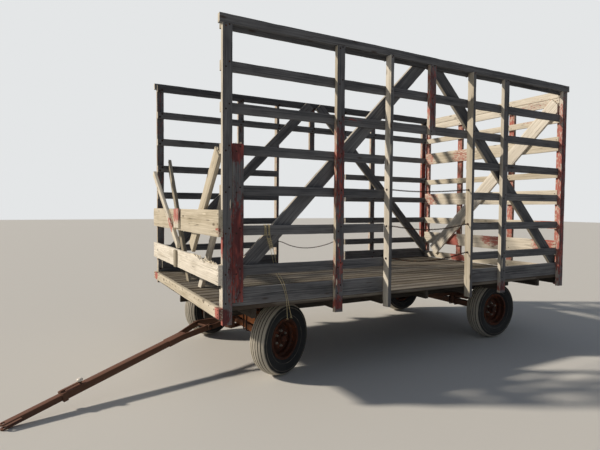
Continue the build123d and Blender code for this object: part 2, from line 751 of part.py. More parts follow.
# Tongue: a fork on the yoke's pin, an outer bar and a sliding inner bar with a clevis.
# It droops until the clevis touches the ground.
inner_wide = outer_bar_wide - 2 * bar_wall - 2 * bar_slack
inner_tall = outer_bar_tall - 2 * bar_wall - 2 * bar_slack
tip_reach = tongue_length + inner_wide / 2
droop = math.degrees(math.asin(hinge_height / math.hypot(tip_reach, inner_tall / 2))
                     - math.atan(inner_tall / 2 / tip_reach))
hinge = within(steered, Plane(origin=(yoke_reach, 0, hinge_level)))
tongue = Plane(hinge.location * Location((0, 0, 0), (0, droop, 0)))
eye_half = fork_half - fork_strap - 2 * fitting_gap - eye_strap
collar_x = tongue_length - collar_from_tip
bar_bore = (outer_bar_wide - 2 * bar_wall, outer_bar_tall - 2 * bar_wall)
with BuildPart() as tongue_bar:
    with BuildSketch(within(tongue, Plane.YZ.offset(bar_start))):
        Rectangle(outer_bar_wide, outer_bar_tall)
        Rectangle(*bar_bore, mode=Mode.SUBTRACT)
    extrude(amount=collar_x - bar_start)
    with BuildSketch(within(tongue, Plane.YZ.offset(collar_x - collar_long))):
        Rectangle(outer_bar_wide + 2 * collar_wall, outer_bar_tall + 2 * collar_wall)
        Rectangle(*bar_bore, mode=Mode.SUBTRACT)
    extrude(amount=collar_long)
    with BuildSketch(within(tongue, Plane.XY.offset(-outer_bar_tall / 2))):
        for end in (1, -1):
            bar_side = end * outer_bar_wide / 2
            bar_strap = bar_side + end * fork_strap
            with BuildLine():
                Polyline((0, end * (eye_half + eye_strap)), (strap_bend, end * (eye_half + eye_strap)),
                         (fork_start, bar_strap), (fork_joint, bar_strap), (fork_joint, bar_side),
                         (fork_start, bar_side), (strap_bend, end * eye_half), (0, end * eye_half), close=True)
            make_face()
    extrude(amount=outer_bar_tall)
    for end in (1, -1):
        eye_place = Plane(origin=(0, end * eye_half, 0), x_dir=(1, 0, 0), z_dir=(0, end, 0))
        with BuildSketch(within(tongue, eye_place)):
            Circle(eye_diameter / 2)
        extrude(amount=eye_strap)
    with BuildSketch(within(tongue, Plane(origin=(0, -fork_half, 0), x_dir=(1, 0, 0), z_dir=(0, 1, 0)))):
        Circle(hinge_pin_diameter / 2 + pin_clearance)
    extrude(amount=fork_wide, mode=Mode.SUBTRACT)
    # The latch: a spring strip over the bar, from the collar back to its knob
    strip_low = outer_bar_tall / 2 + latch_rise
    strip_back = collar_x - latch_long
    with BuildSketch(within(tongue, Plane.XY.offset(strip_low))):
        with Locations((collar_x - latch_long / 2, 0)):
            Rectangle(latch_long, latch_wide)
    extrude(amount=latch_thick)
    for x, long in ((collar_x - collar_long / 2, collar_long), (strip_back + latch_wide / 2, latch_wide / 2)):
        with BuildSketch(within(tongue, Plane.XY.offset(outer_bar_tall / 2 - latch_lap))):
            with Locations((x, 0)):
                Rectangle(long, latch_wide)
        extrude(amount=latch_rise + 2 * latch_lap)
    knob_place = (strip_back + latch_wide / 2, 0, strip_low + latch_thick - 2 * latch_lap)
    with BuildSketch(within(tongue, Plane(origin=knob_place, x_dir=(1, 0, 0), z_dir=(0, -1, 0)))):
        with BuildLine():
            Line((0, 0), (knob_diameter / 4, 0))
            Line((knob_diameter / 4, 0), (knob_diameter / 2, knob_diameter / 2))
            RadiusArc((knob_diameter / 2, knob_diameter / 2), (0, knob_diameter), -knob_diameter / 2)
            Line((0, knob_diameter), (0, 0))
        make_face()
    revolve(axis=Axis(tongue.from_local_coords((strip_back + latch_wide / 2, 0, 0)), tongue.z_dir))
pieces["tongue_bar"] = tongue_bar

with BuildPart() as tongue_extension:
    with BuildSketch(within(tongue, Plane.YZ.offset(extension_start))):
        Rectangle(inner_wide, inner_tall)
    extrude(amount=tongue_length - clevis_length - extension_start)
    for low in (-inner_tall / 2, inner_tall / 2 - plate_thick):
        with BuildSketch(within(tongue, Plane.XY.offset(low))):
            with Locations((tongue_length - clevis_length / 2 - clevis_lap / 2, 0)):
                Rectangle(clevis_length + clevis_lap, inner_wide)
            with Locations((tongue_length, 0)):
                Circle(inner_wide / 2)
                Circle(hitch_pin_diameter / 2, mode=Mode.SUBTRACT)
        extrude(amount=plate_thick)
pieces["tongue_extension"] = tongue_extension

os.makedirs("parts", exist_ok=True)
for name, piece in pieces.items():
    piece.part.label = name
    export_step(piece.part, "parts/" + name + ".step")

tip = tongue.from_local_coords((tongue_length, 0, 0))
print("tongue tip", tip, "axis", tongue.z_dir, "bar", tongue.x_dir)
print("hinge", hinge.origin, "pin axis", tongue.y_dir)
print("rod pin", pin_place, "droop", droop)
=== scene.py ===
"""Looks of a hay wagon: weathered lumber, a rusted running gear, ribbed tyres, chains and twine.

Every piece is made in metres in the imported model's own frame: X forward to the tongue, Y to the wagon's
left, Z up, with the origin at the centre of the deck's upper face. Named sizes are in millimetres, and
MM turns them into metres.
"""

import json
import math
import random

import bmesh
import bpy
from bpy.props import FloatProperty, FloatVectorProperty, IntProperty, PointerProperty
from bpy.types import Operator, Panel, PropertyGroup
from mathutils import Matrix, Vector, noise


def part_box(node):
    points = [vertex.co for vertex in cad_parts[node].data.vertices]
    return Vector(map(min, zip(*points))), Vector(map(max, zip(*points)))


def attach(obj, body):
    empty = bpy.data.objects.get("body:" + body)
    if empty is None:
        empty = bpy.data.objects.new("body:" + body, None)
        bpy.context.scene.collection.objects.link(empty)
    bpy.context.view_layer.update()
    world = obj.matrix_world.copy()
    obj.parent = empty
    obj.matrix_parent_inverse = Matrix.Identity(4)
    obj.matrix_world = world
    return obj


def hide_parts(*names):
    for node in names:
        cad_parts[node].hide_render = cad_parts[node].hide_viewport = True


bl_info = {
    "name": "Hay Wagon Looks",
    "version": (1, 0, 0),
    "blender": (4, 5, 0),
    "location": "View3D > Sidebar > Hay Wagon",
    "description": "Weathered boards, rusted gear, tyres, chains and twine around the packed hay wagon",
    "category": "Object",
}

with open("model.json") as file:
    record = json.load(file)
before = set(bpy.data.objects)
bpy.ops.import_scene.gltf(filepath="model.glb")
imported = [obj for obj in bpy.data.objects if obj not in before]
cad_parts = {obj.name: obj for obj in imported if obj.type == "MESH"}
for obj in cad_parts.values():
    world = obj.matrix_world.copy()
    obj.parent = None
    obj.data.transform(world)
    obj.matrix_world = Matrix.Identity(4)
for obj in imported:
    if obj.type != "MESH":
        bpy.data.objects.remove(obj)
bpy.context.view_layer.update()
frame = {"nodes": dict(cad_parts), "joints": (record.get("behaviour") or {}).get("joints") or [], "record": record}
bodies = frame["record"]["behaviour"]["bodies"]
node_body = {name: body for body, members in bodies.items() for name in members}
joints = {joint["name"]: joint for joint in frame["joints"]}
MM = 0.001
X, Y, Z = (Vector(row) for row in Matrix.Identity(3))


def linear(hex_colour):
    """An sRGB hex value as the linear colour that a shader takes."""
    channels = [int(hex_colour[i:i + 2], 16) / 255 for i in (1, 3, 5)]
    return tuple(c / 12.92 if c <= 0.04045 else ((c + 0.055) / 1.055) ** 2.4 for c in channels)


# Settings

def size(name, description, default_mm):
    return FloatProperty(name=name, description=description, default=default_mm * MM, min=0.0, unit="LENGTH",
                         precision=4)


def colour(name, description, hex_colour):
    return FloatVectorProperty(name=name, description=description, subtype="COLOR", size=3, min=0.0, max=1.0,
                               default=linear(hex_colour))


def angle(name, description, default_degrees):
    return FloatProperty(name=name, description=description, subtype="ANGLE",
                         default=math.radians(default_degrees))


class LumberSettings(PropertyGroup):
    # Pale and dark grain of the front and rear boards, which the rack's faces towards the front also take as
    # painted sunlight
    pale: colour("Pale grain", "Bleached wood between the growth lines", "#ebe3d3")
    dark: colour("Dark grain", "Greyed growth lines", "#b3a995")
    # The rack's grain colours are darkened as painted shade
    rack_pale_in_shade: colour("Rack pale grain", "Bleached wood of posts, rails and caps", "#7b7c7f")
    rack_dark_in_shade: colour("Rack dark grain", "Greyed growth lines of posts, rails and caps", "#33353a")
    deck_pale: colour("Deck pale grain", "Trodden wood of the planks", "#8d8678")
    deck_dark: colour("Deck dark grain", "Dirty growth lines of the planks", "#4a4540")
    # The sills' wood is drawn darker than the deck's
    sill_pale: colour("Sill pale grain", "Damp wood of the sills", "#4a443d")
    sill_dark: colour("Sill dark grain", "Damp growth lines of the sills", "#241f1b")
    # The old paint is darkened as painted shade; the faded paint is real fading and, on faces towards the front,
    # painted sunlight
    old_paint_in_shade: colour("Old paint", "Flaking red barn paint", "#541b1e")
    faded_and_sunlit_paint: colour("Faded paint", "The same paint where the sun has faded it", "#b9574c")
    torn: colour("Torn wood", "Fresh wood in splinters and scars", "#f3ecdc")
    torn_shade: colour("Torn fibre", "Darker fibres in the torn wood", "#ddd2bb")
    knot: colour("Knot", "Knots and drying checks", "#3a2b20")
    section: size("Section spacing", "Distance between cuts along a board, which lets it bow and wear", 60)
    bow: size("Bow", "How far a long board bows", 3.0)
    cup: size("Cup", "How far a wide board cups across", 2.0)
    chip: size("Chip", "How deep its worn edges are chipped", 2.6)
    ragged: size("Ragged end", "How uneven its sawn ends are", 4.0)


class SteelSettings(PropertyGroup):
    scale: colour("Mill scale", "Dark scale left on the steel", "#241f1d")
    rust: colour("Rust", "Old dark rust", "#4c3026")
    fresh_rust: colour("Fresh rust", "Orange rust where it stays damp", "#8a4a28")
    damp_rust: colour("Damp rust", "Bright rust where water stands", "#cf7a3c")
    rubbed: colour("Rubbed edge", "Steel rubbed brown at its edges", "#a07762")
    gear_dust: colour("Gear dust", "Dried dust on top of the running gear", "#7d7263")
    tongue_scale: colour("Tongue scale", "Nearly black scale of the tongue", "#0e0a09")
    tongue_rust: colour("Tongue rust", "Dark rust of the tongue", "#1d110c")
    # The tongue's lighter top is wear and a painted highlight
    tongue_wear_and_highlight: colour("Tongue wear", "Brown wear on top of the tongue", "#8a6152")
    chain_rust: colour("Chain rust", "Rust of chains, nails and bolts", "#3f2d25")
    rim_paint: colour("Rim paint", "Old rust-brown enamel of the wheels", "#33201a")
    rim_rust: colour("Rim rust", "Rust that comes through the rims' enamel", "#4d2b1e")
    zinc: colour("Zinc", "Dull zinc plating of the wheel nuts", "#9a978f")
    enamel: colour("Knob enamel", "Yellowed white enamel of the latch's knob", "#ece5da")
    grime: colour("Knob grime", "Grime in the knob's chips", "#6a5a4c")
    round_edge: size("Round edge", "Radius of the bars' and plates' edges", 2.0)
    nail_radius: size("Nail radius", "Radius of a nail head", 6.5)
    bolt_radius: size("Bolt radius", "Radius of a carriage bolt's head", 8)


class TyreSettings(PropertyGroup):
    rubber: colour("Rubber", "Aged black rubber", "#191b1e")
    dust: colour("Dust", "Dried tan dust on the tread", "#b8b2a5")
    rib_count: IntProperty(name="Ribs", description="Ribs round the tread", default=6, min=3, max=9)
    groove_depth: size("Groove depth", "Depth of the grooves between the ribs", 9)
    groove_width: size("Groove width", "Width of the grooves between the ribs", 9)
    steps: IntProperty(name="Steps", description="Steps round the tyre", default=120, min=48, max=180)


class CordSettings(PropertyGroup):
    wire: size("Link wire", "Diameter of the chain's wire", 5.6)
    link_pitch: size("Link pitch", "Distance from one link to the next", 22)
    link_width: size("Link width", "Outer width of a link", 18)
    twine: colour("Twine", "Faded natural baler twine", "#e2d8b4")
    twine_shade: colour("Twine shade", "Darker fibres between the plies", "#9d8a5f")
    twine_diameter: size("Twine diameter", "Diameter of the two-ply twine", 5)
    twine_lay: size("Twine lay", "Length of one turn of its two plies", 24)


class StageSettings(PropertyGroup):
    floor: colour("Floor", "Plain pale floor", "#e2e1dd")
    backdrop: colour("Backdrop", "Plain pale backdrop", "#e4e6e7")
    key_tint: colour("Key tint", "Warm light of the large lamp", "#fff3e2")
    fill_tint: colour("Fill tint", "Cool light from all round", "#dde9fc")
    eye: FloatVectorProperty(name="Eye", description="Where the photograph was taken from", size=3,
                             subtype="TRANSLATION", default=(3.743, 5.196, 0.879))
    heading: angle("Heading", "Direction of view from +X towards +Y", -118.565)
    pitch: angle("Pitch", "How far the view points up", -2.138)
    roll: angle("Roll", "Turn about the line of view", 0.41)
    lens: FloatProperty(name="Lens", description="Focal length for a 36 mm wide picture", default=28.2)
    key: FloatProperty(name="Key light", description="Strength of the large lamp", default=3.3)
    key_size: angle("Key size", "How wide the large lamp looks, for soft shadows", 4.0)
    fill: FloatProperty(name="Fill light", description="Strength of the light from all round", default=0.18)


# Mesh helpers

# Edges where two faces meet at more than this angle are sharp, and a plate's are rounded by this radius in mm
sharp_angle = math.radians(30)
plate_edge = 1.5
# How thick most washers are, in mm
washer_thick = 2.0


class Shape:
    """Points, faces and values per point, gathered from many parts for one mesh."""

    def __init__(self):
        self.points, self.faces, self.values = [], [], {}

    def add(self, part, **values):
        points, faces = part
        start = len(self.points)
        self.points += points
        self.faces += [[start + i for i in face] for face in faces]
        for key, value in values.items():
            column = value if isinstance(value, list) else [value] * len(points)
            self.values.setdefault(key, []).extend(column)

    def piece(self, name, body, surface, slot, replaced=(), smooth=40):
        """The gathered mesh as an object with this finish that rides on a body."""
        mesh = bpy.data.meshes.new(name)
        mesh.from_pydata([tuple(p) for p in self.points], [], self.faces)
        for key, column in self.values.items():
            if isinstance(column[0], (int, float)):
                mesh.attributes.new(key, "FLOAT", "POINT").data.foreach_set("value", column)
            else:
                flat = [c for vector in column for c in vector]
                mesh.attributes.new(key, "FLOAT_VECTOR", "POINT").data.foreach_set("vector", flat)
        mesh.polygons.foreach_set("use_smooth", [True] * len(mesh.polygons))
        mesh.set_sharp_from_angle(angle=math.radians(smooth))
        mesh.materials.append(finish(surface))
        mesh.validate()
        made = bpy.data.objects.new(name, mesh)
        bpy.context.scene.collection.objects.link(made)
        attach(made, body)
        if replaced:
            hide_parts(*replaced)
        return made


def spot(x, y, z):
    """A place given in millimetres."""
    return Vector((x * MM, y * MM, z * MM))


def sides_of(axis):
    """Two directions that stand square to an axis and to each other."""
    axis = Vector(axis).normalized()
    helper = Z if abs(axis.z) < 0.9 else X
    across = axis.cross(helper).normalized()
    return across, axis.cross(across).normalized()


def ring(centre, across, up, radius, steps):
    """Evenly spaced points on a circle."""
    turns = [2 * math.pi * i / steps for i in range(steps)]
    return [centre + (across * math.cos(turn) + up * math.sin(turn)) * radius for turn in turns]


def lathe(profile, origin, axis, steps=16):
    """A turned shape: its profile is pairs of distance along the axis and radius in mm, and a radius of 0
    is a point."""
    origin, axis = Vector(origin), Vector(axis).normalized()
    across, up = sides_of(axis)
    points, faces, rings = [], [], []
    for along, radius in profile:
        start = len(points)
        centre = origin + axis * (along * MM)
        points += ring(centre, across, up, radius * MM, steps) if radius else [centre]
        rings.append(range(start, len(points)))
    for low, high in zip(rings, rings[1:]):
        for i in range(steps):
            after = i + 1
            face = (low[i % len(low)], low[after % len(low)], high[after % len(high)], high[i % len(high)])
            face = list(dict.fromkeys(face))
            if len(face) > 2:
                faces.append(face)
    return points, faces


def tube(line, radius, sides=8, closed=False):
    """A round bar along a line of points, closed or with a face at each end, its radius in metres."""
    line = [Vector(p) for p in line]
    count = len(line)
    points, faces = [], []
    across = None
    for i, point in enumerate(line):
        before = line[i - 1] if i or closed else point
        after = line[(i + 1) % count] if i + 1 < count or closed else point
        ahead = (after - before).normalized()
        if across is None:
            across = sides_of(ahead)[0]
        across = (across - ahead * across.dot(ahead)).normalized()
        width = radius[i] if isinstance(radius, list) else radius
        points += ring(point, across, ahead.cross(across), width, sides)
    for i in range(count if closed else count - 1):
        low, high = i * sides, (i + 1) % count * sides
        for k in range(sides):
            faces.append([low + k, low + (k + 1) % sides, high + (k + 1) % sides, high + k])
    if not closed:
        faces.append(list(range(sides))[::-1])
        faces.append([(count - 1) * sides + k for k in range(sides)])
    return points, faces


def arc(centre, across, up, radius, start, end, steps):
    """Points on an arc, its radius in metres, from one angle to another in degrees."""
    turns = [math.radians(start + (end - start) * i / steps) for i in range(steps + 1)]
    return [Vector(centre) + Vector(across) * (radius * math.cos(t)) + Vector(up) * (radius * math.sin(t))
            for t in turns]


def sharp_edges(solid):
    """A solid's edges where two faces meet at a marked angle."""
    return [e for e in solid.edges if len(e.link_faces) == 2 and e.calc_face_angle() > sharp_angle]


def rounded(solid, edges, radius):
    """Rounds a solid's edges, and gives the faces that this makes."""
    made = bmesh.ops.bevel(solid, geom=edges, offset=radius, segments=2, profile=0.5, affect="EDGES",
                           clamp_overlap=True)
    return made["faces"]


def block(low, high):
    """A box between two corners."""
    solid = bmesh.new()
    bmesh.ops.create_cube(solid, size=1.0)
    middle, reach = (low + high) / 2, high - low
    for vert in solid.verts:
        vert.co = middle + Vector(vert.co[i] * reach[i] for i in range(3))
    solid.normal_update()
    return solid


def taken(solid):
    """A solid's points and faces. The solid is freed."""
    points = [v.co.copy() for v in solid.verts]
    solid.verts.index_update()
    faces = [[v.index for v in f.verts] for f in solid.faces]
    solid.free()
    return points, faces


def plate(centre, sizes):
    """A flat bar or plate with rounded edges, its sizes in mm."""
    half = Vector(sizes) * MM / 2
    solid = block(centre - half, centre + half)
    rounded(solid, solid.edges[:], plate_edge * MM)
    return taken(solid)


def hexagon(origin, axis, across_flats, height, rise=0.0):
    """A hexagon nut or bolt head with its chamfered corners, and the rod's end standing out of it, in mm."""
    radius = across_flats / math.sqrt(3)
    return lathe([(0, radius), (height * 0.8, radius), (height, radius * 0.86), (height, radius * 0.5),
                  (height + rise, radius * 0.48), (height + rise + 0.5, 0)], origin, axis, 6)


def bolt_head(origin, axis, radius, height):
    """A low domed head, in mm."""
    return lathe([(0, radius), (height * 0.45, radius * 0.93), (height * 0.85, radius * 0.6), (height, 0)],
                 origin, axis, 10)


def washer(face, axis, radius, bore, thick=washer_thick, steps=16):
    """A washer that lies on a face, in mm."""
    return lathe([(0, radius), (thick, radius), (thick, bore)], face, axis, steps)


# The frame's solids

# Points closer than this are one point, and faces that meet at less than this angle are one face
merge_distance = 0.02 * MM
flat_angle = math.radians(1.0)


def solids_of(node):
    """A CAD node's solids, each as a mesh of its own with whole flat faces."""
    whole = bmesh.new()
    whole.from_mesh(frame["nodes"][node].data)
    bmesh.ops.remove_doubles(whole, verts=whole.verts, dist=merge_distance)
    whole.verts.index_update()
    seen, found = set(), []
    for seed in whole.verts:
        if seed.index in seen:
            continue
        island, queue = [], [seed]
        seen.add(seed.index)
        while queue:
            vert = queue.pop()
            island.append(vert)
            for edge in vert.link_edges:
                other = edge.other_vert(vert)
                if other.index not in seen:
                    seen.add(other.index)
                    queue.append(other)
        solid = bmesh.new()
        made = {vert.index: solid.verts.new(vert.co) for vert in island}
        faces = {face.index: face for vert in island for face in vert.link_faces}
        for index in sorted(faces):
            solid.faces.new([made[vert.index] for vert in faces[index].verts])
        bmesh.ops.dissolve_limit(solid, angle_limit=flat_angle, verts=solid.verts, edges=solid.edges)
        bmesh.ops.recalc_face_normals(solid, faces=solid.faces)
        solid.normal_update()
        found.append(solid)
    whole.free()
    return found


class Board:
    """Where a board lies: its middle, its directions along, across and through, and half its sizes."""

    def __init__(self, solid):
        corners = [e for e in solid.edges if len(e.link_faces) == 2 and e.calc_face_angle(0.0) > sharp_angle]
        longest = max(corners, key=lambda e: round(e.calc_length(), 5))
        along = (longest.verts[1].co - longest.verts[0].co).normalized()
        if max(along, key=abs) < 0:
            along = -along
        flats = [f.normal.copy() for f in solid.faces if abs(f.normal.dot(along)) < 0.2]
        through = min(flats, key=lambda n: round(spread(solid, n)[1] - spread(solid, n)[0], 5))
        if max(through, key=abs) < 0:
            through = -through
        across = through.cross(along).normalized()
        self.axes = (along, across, along.cross(across))
        ends = [spread(solid, axis) for axis in self.axes]
        self.half = [(high - low) / 2 for low, high in ends]
        self.centre = sum(((high + low) / 2 * axis for axis, (low, high) in zip(self.axes, ends)), Vector())


def spread(solid, axis):
    """The least and greatest distance of a solid's points along an axis."""
    reach = [v.co.dot(axis) for v in solid.verts]
    return min(reach), max(reach)


def bounds_of(solid):
    """The lowest and highest corner of a solid."""
    return (Vector(min(v.co[i] for v in solid.verts) for i in range(3)),
            Vector(max(v.co[i] for v in solid.verts) for i in range(3)))


# Materials

def node(tree, kind, inputs=(), output=0, **settings):
    """Adds a node of this kind with its settings, fills or links its inputs by name or in their order, and
    gives one of its outputs."""
    made = tree.nodes.new("ShaderNode" + kind)
    for name, value in settings.items():
        setattr(made, name, value)
    for key, value in inputs.items() if isinstance(inputs, dict) else enumerate(inputs):
        socket = made.inputs[key]
        if isinstance(value, bpy.types.NodeSocket):
            tree.links.new(value, socket)
        else:
            socket.default_value = (*value, 1.0) if socket.type == "RGBA" else value
    return made.outputs[output] if made.outputs else None


def figure(tree, place, sizes_mm, detail=3.0, roughness=0.55):
    """Soft noise whose blotches are these many millimetres long, wide and deep."""
    scaled = node(tree, "VectorMath", (place, [1 / (s * MM) for s in sizes_mm]), operation="MULTIPLY")
    return node(tree, "TexNoise", {"Vector": scaled, "Scale": 1.0, "Detail": detail,
                                   "Roughness": roughness}, "Fac")


def facing(tree, axis):
    """How squarely a face points along one of the three axes."""
    return node(tree, "SeparateXYZ", [node(tree, "NewGeometry", output="Normal")], axis)


def layered(tree, colour, *layers):
    """Colours laid over a first one. Each layer has a value, from where to where it rises, the share that
    the layer covers at the end of that, and its colour."""
    for value, low, high, share, over in layers:
        cover = node(tree, "MapRange", (value, low, high, 0.0, share))
        colour = node(tree, "Mix", {0: cover, 6: colour, 7: over}, 2, data_type="RGBA")
    return colour


def begun(name):
    """A new material and its empty tree."""
    made = bpy.data.materials.new(name)
    made.use_nodes = True
    made.node_tree.nodes.clear()
    return made, made.node_tree


def shaded(made, sockets):
    """Gives a material its shader with these sockets filled or linked."""
    tree = made.node_tree
    node(tree, "OutputMaterial", {"Surface": node(tree, "BsdfPrincipled", sockets)})
    return made


def weathered_lumber(name, pale, dark, settings, sunlit_share=0.0, dirty=False):
    """Sawn softwood left outdoors for years: greyed growth lines, drying checks and knots, quite matt.
    Real growth lines are 2 to 4 mm apart, and are drawn about 9 mm apart so that they show. Faces
    towards the front get painted sunlight: their grain is blended by a share to the front boards' paler
    colours, and their old paint mostly to the faded paint. Trodden planks hold dirt at
    their edges, where other boards are rubbed pale."""
    made, tree = begun(name)
    place = node(tree, "Attribute", output="Vector", attribute_name="grain")
    tone = node(tree, "Attribute", output="Fac", attribute_name="tone")
    edge = node(tree, "Attribute", output="Fac", attribute_name="edge")
    paint_left = node(tree, "Attribute", output="Fac", attribute_name="paint")
    lines = figure(tree, place, (520, 9, 9), 4.0, 0.6)
    bands = figure(tree, place, (1500, 38, 38), 2.0)
    stains = figure(tree, place, (380, 120, 120), 4.0, 0.6)
    checks = node(tree, "MapRange", (figure(tree, place, (260, 10, 10), 1.0), 0.3, 0.24))
    flakes = figure(tree, place, (60, 15, 15), 6.0, 0.72)
    fading = figure(tree, place, (240, 60, 60), 3.0, 0.6)
    knot_place = node(tree, "VectorMath", (place, (3.1, 8.5, 8.5)), operation="MULTIPLY")
    knots = node(tree, "TexVoronoi", {"Vector": knot_place, "Scale": 1.0}, "Distance")
    # Faces towards the front: painted sunlight makes their grain and their paint paler
    forward = facing(tree, "X")
    light = layered(tree, pale, (forward, 0.5, 0.8, sunlit_share, settings.pale))
    deep = layered(tree, dark, (forward, 0.5, 0.8, sunlit_share, settings.dark))
    wood = layered(tree, deep,
                   (lines, 0.36, 0.62, 1.0, light),
                   (bands, 0.35, 0.7, 0.6, light),
                   (stains, 0.45, 0.72, 0.6, deep),
                   (edge, 0.0, 1.0, 0.8 if dirty else 0.4, settings.knot if dirty else light))
    warmth = node(tree, "MapRange", (tone, 0.8, 1.15, 1.3, 0.75))
    wood = node(tree, "HueSaturation", {"Saturation": warmth, "Value": tone, "Color": wood})
    # Dark old paint as painted shade, faded paint where it fades and, on faces towards the front, as painted
    # sunlight
    paint = layered(tree, settings.old_paint_in_shade,
                    (fading, 0.48, 0.74, 1.0, settings.faded_and_sunlit_paint),
                    (forward, 0.5, 0.8, 0.8, settings.faded_and_sunlit_paint))
    flaking = node(tree, "Math", (flakes, paint_left), operation="ADD")
    painted = node(tree, "MapRange", (flaking, 0.94, 1.06, 0.0, 0.88))
    wood = layered(tree, wood,
                   (checks, 0.0, 1.0, 0.8, settings.knot),
                   (knots, 0.15, 0.06, 0.7, settings.knot),
                   (painted, 0.0, 1.0, 1.0, paint))
    height = node(tree, "Math", (checks, -1.4, lines), operation="MULTIPLY_ADD")
    relief = node(tree, "Bump", {"Height": height, "Strength": 0.7, "Distance": 2.0 * MM})
    return shaded(made, {"Base Color": wood, "Roughness": node(tree, "MapRange", (painted, 0, 1, 0.9, 0.66)),
                         "Specular IOR Level": 0.25, "Normal": relief})


def torn_wood(name, settings):
    """Softwood torn open along its grain: pale, silky fibres that haven't greyed yet, matt."""
    made, tree = begun(name)
    fibres = figure(tree, node(tree, "TexCoord", output="Object"), (9, 9, 9), 4.0, 0.7)
    wood = layered(tree, settings.torn_shade, (fibres, 0.3, 0.7, 1.0, settings.torn))
    relief = node(tree, "Bump", {"Height": fibres, "Strength": 0.6, "Distance": 1.0 * MM})
    return shaded(made, {"Base Color": wood, "Roughness": 0.88, "Specular IOR Level": 0.25, "Normal": relief})


def rusted_steel(name, base, rust_colour, settings, top=None, top_share=0.0, bloom_share=0.8):
    """Hot rolled bar left bare: dark mill scale under brown rust, with orange bloom in patches about a
    hand wide and pits of a few millimetres, drawn at 9 mm so that they show. Dust or wear tints its top,
    and on the tongue that lighter top is also a painted highlight."""
    made, tree = begun(name)
    place = node(tree, "TexCoord", output="Object")
    damp = node(tree, "Attribute", output="Fac", attribute_name="damp")
    edge = node(tree, "Attribute", output="Fac", attribute_name="edge")
    patches = figure(tree, place, (120, 120, 120), 5.0, 0.65)
    bloom = figure(tree, place, (55, 55, 55), 4.0, 0.7)
    pits = figure(tree, place, (9, 9, 9), 3.0, 0.7)
    rust = layered(tree, base,
                   (patches, 0.38, 0.6, 1.0, rust_colour),
                   (bloom, 0.52, 0.72, bloom_share, settings.fresh_rust),
                   (pits, 0.35, 0.7, 0.4, settings.scale),
                   (damp, 0.0, 1.0, 1.0, settings.damp_rust),
                   (edge, 0.0, 1.0, 0.3, settings.rubbed))
    # Upward faces: dust on the gear, and on the tongue wear with a painted highlight
    if top:
        upward = node(tree, "MapRange", (facing(tree, "Z"), 0.5, 1.0, 0.0, top_share))
        patchy = node(tree, "MapRange", (bloom, 0.3, 0.6, 0.5, 1.0))
        laid = node(tree, "Math", (upward, patchy), operation="MULTIPLY")
        rust = layered(tree, rust, (laid, 0.0, 1.0, 1.0, top))
    relief = node(tree, "Bump", {"Height": pits, "Strength": 0.5, "Distance": 1.0 * MM})
    return shaded(made, {"Base Color": rust, "Roughness": node(tree, "MapRange", (bloom, 0.3, 0.7, 0.6, 0.9)),
                         "Specular IOR Level": 0.2, "Normal": relief})


def zinc_plate(name, settings):
    """Zinc plated nuts: dull grey metal with a soft shine, and rust where the plating has gone."""
    made, tree = begun(name)
    blots = figure(tree, node(tree, "TexCoord", output="Object"), (14, 14, 14), 4.0, 0.7)
    gone = node(tree, "MapRange", (blots, 0.5, 0.62, 0.0, 0.85))
    return shaded(made, {"Base Color": layered(tree, settings.zinc, (gone, 0.0, 1.0, 1.0, settings.rust)),
                         "Metallic": node(tree, "MapRange", (gone, 0.0, 1.0, 0.75, 0.0)),
                         "Roughness": node(tree, "MapRange", (gone, 0.0, 1.0, 0.42, 0.85))})


def white_enamel(name, settings):
    """The latch's knob: yellowed white enamel, half gloss, with grime in its chips."""
    made, tree = begun(name)
    chips = figure(tree, node(tree, "TexCoord", output="Object"), (11, 11, 11), 4.0, 0.7)
    grime = node(tree, "MapRange", (chips, 0.55, 0.7, 0.0, 0.7))
    enamel = layered(tree, settings.enamel, (grime, 0.0, 1.0, 1.0, settings.grime))
    return shaded(made, {"Base Color": enamel,
                         "Roughness": node(tree, "MapRange", (grime, 0.0, 1.0, 0.35, 0.8))})


def aged_rubber(name, settings):
    """Sun-aged black rubber: grey and matt, with dried dust in the tread and thin on the walls."""
    made, tree = begun(name)
    place = node(tree, "TexCoord", output="Object")
    tread = node(tree, "Attribute", output="Fac", attribute_name="tread")
    clouds = figure(tree, place, (90, 90, 90), 5.0, 0.6)
    specks = figure(tree, place, (8, 8, 8), 3.0, 0.7)
    dusty = node(tree, "Math", (clouds, 0.55, tread), operation="MULTIPLY_ADD")
    rubber = layered(tree, settings.rubber,
                     (dusty, 0.5, 1.2, 1.0, settings.dust),
                     (specks, 0.55, 0.85, 0.06, settings.dust))
    relief = node(tree, "Bump", {"Height": specks, "Strength": 0.35, "Distance": 0.8 * MM})
    return shaded(made, {"Base Color": rubber,
                         "Roughness": node(tree, "MapRange", (clouds, 0.3, 0.7, 0.72, 0.92)),
                         "Specular IOR Level": 0.3, "Normal": relief})


def twine_fibre(name, settings):
    """Twisted natural baler twine, bleached and hairy: matt, with darker and paler plies."""
    made, tree = begun(name)
    plies = figure(tree, node(tree, "TexCoord", output="Object"), (6, 6, 6), 3.0, 0.7)
    fibre = layered(tree, settings.twine_shade, (plies, 0.3, 0.7, 1.0, settings.twine))
    relief = node(tree, "Bump", {"Height": plies, "Strength": 0.6, "Distance": 0.6 * MM})
    return shaded(made, {"Base Color": fibre, "Roughness": 0.95, "Specular IOR Level": 0.15,
                         "Normal": relief})


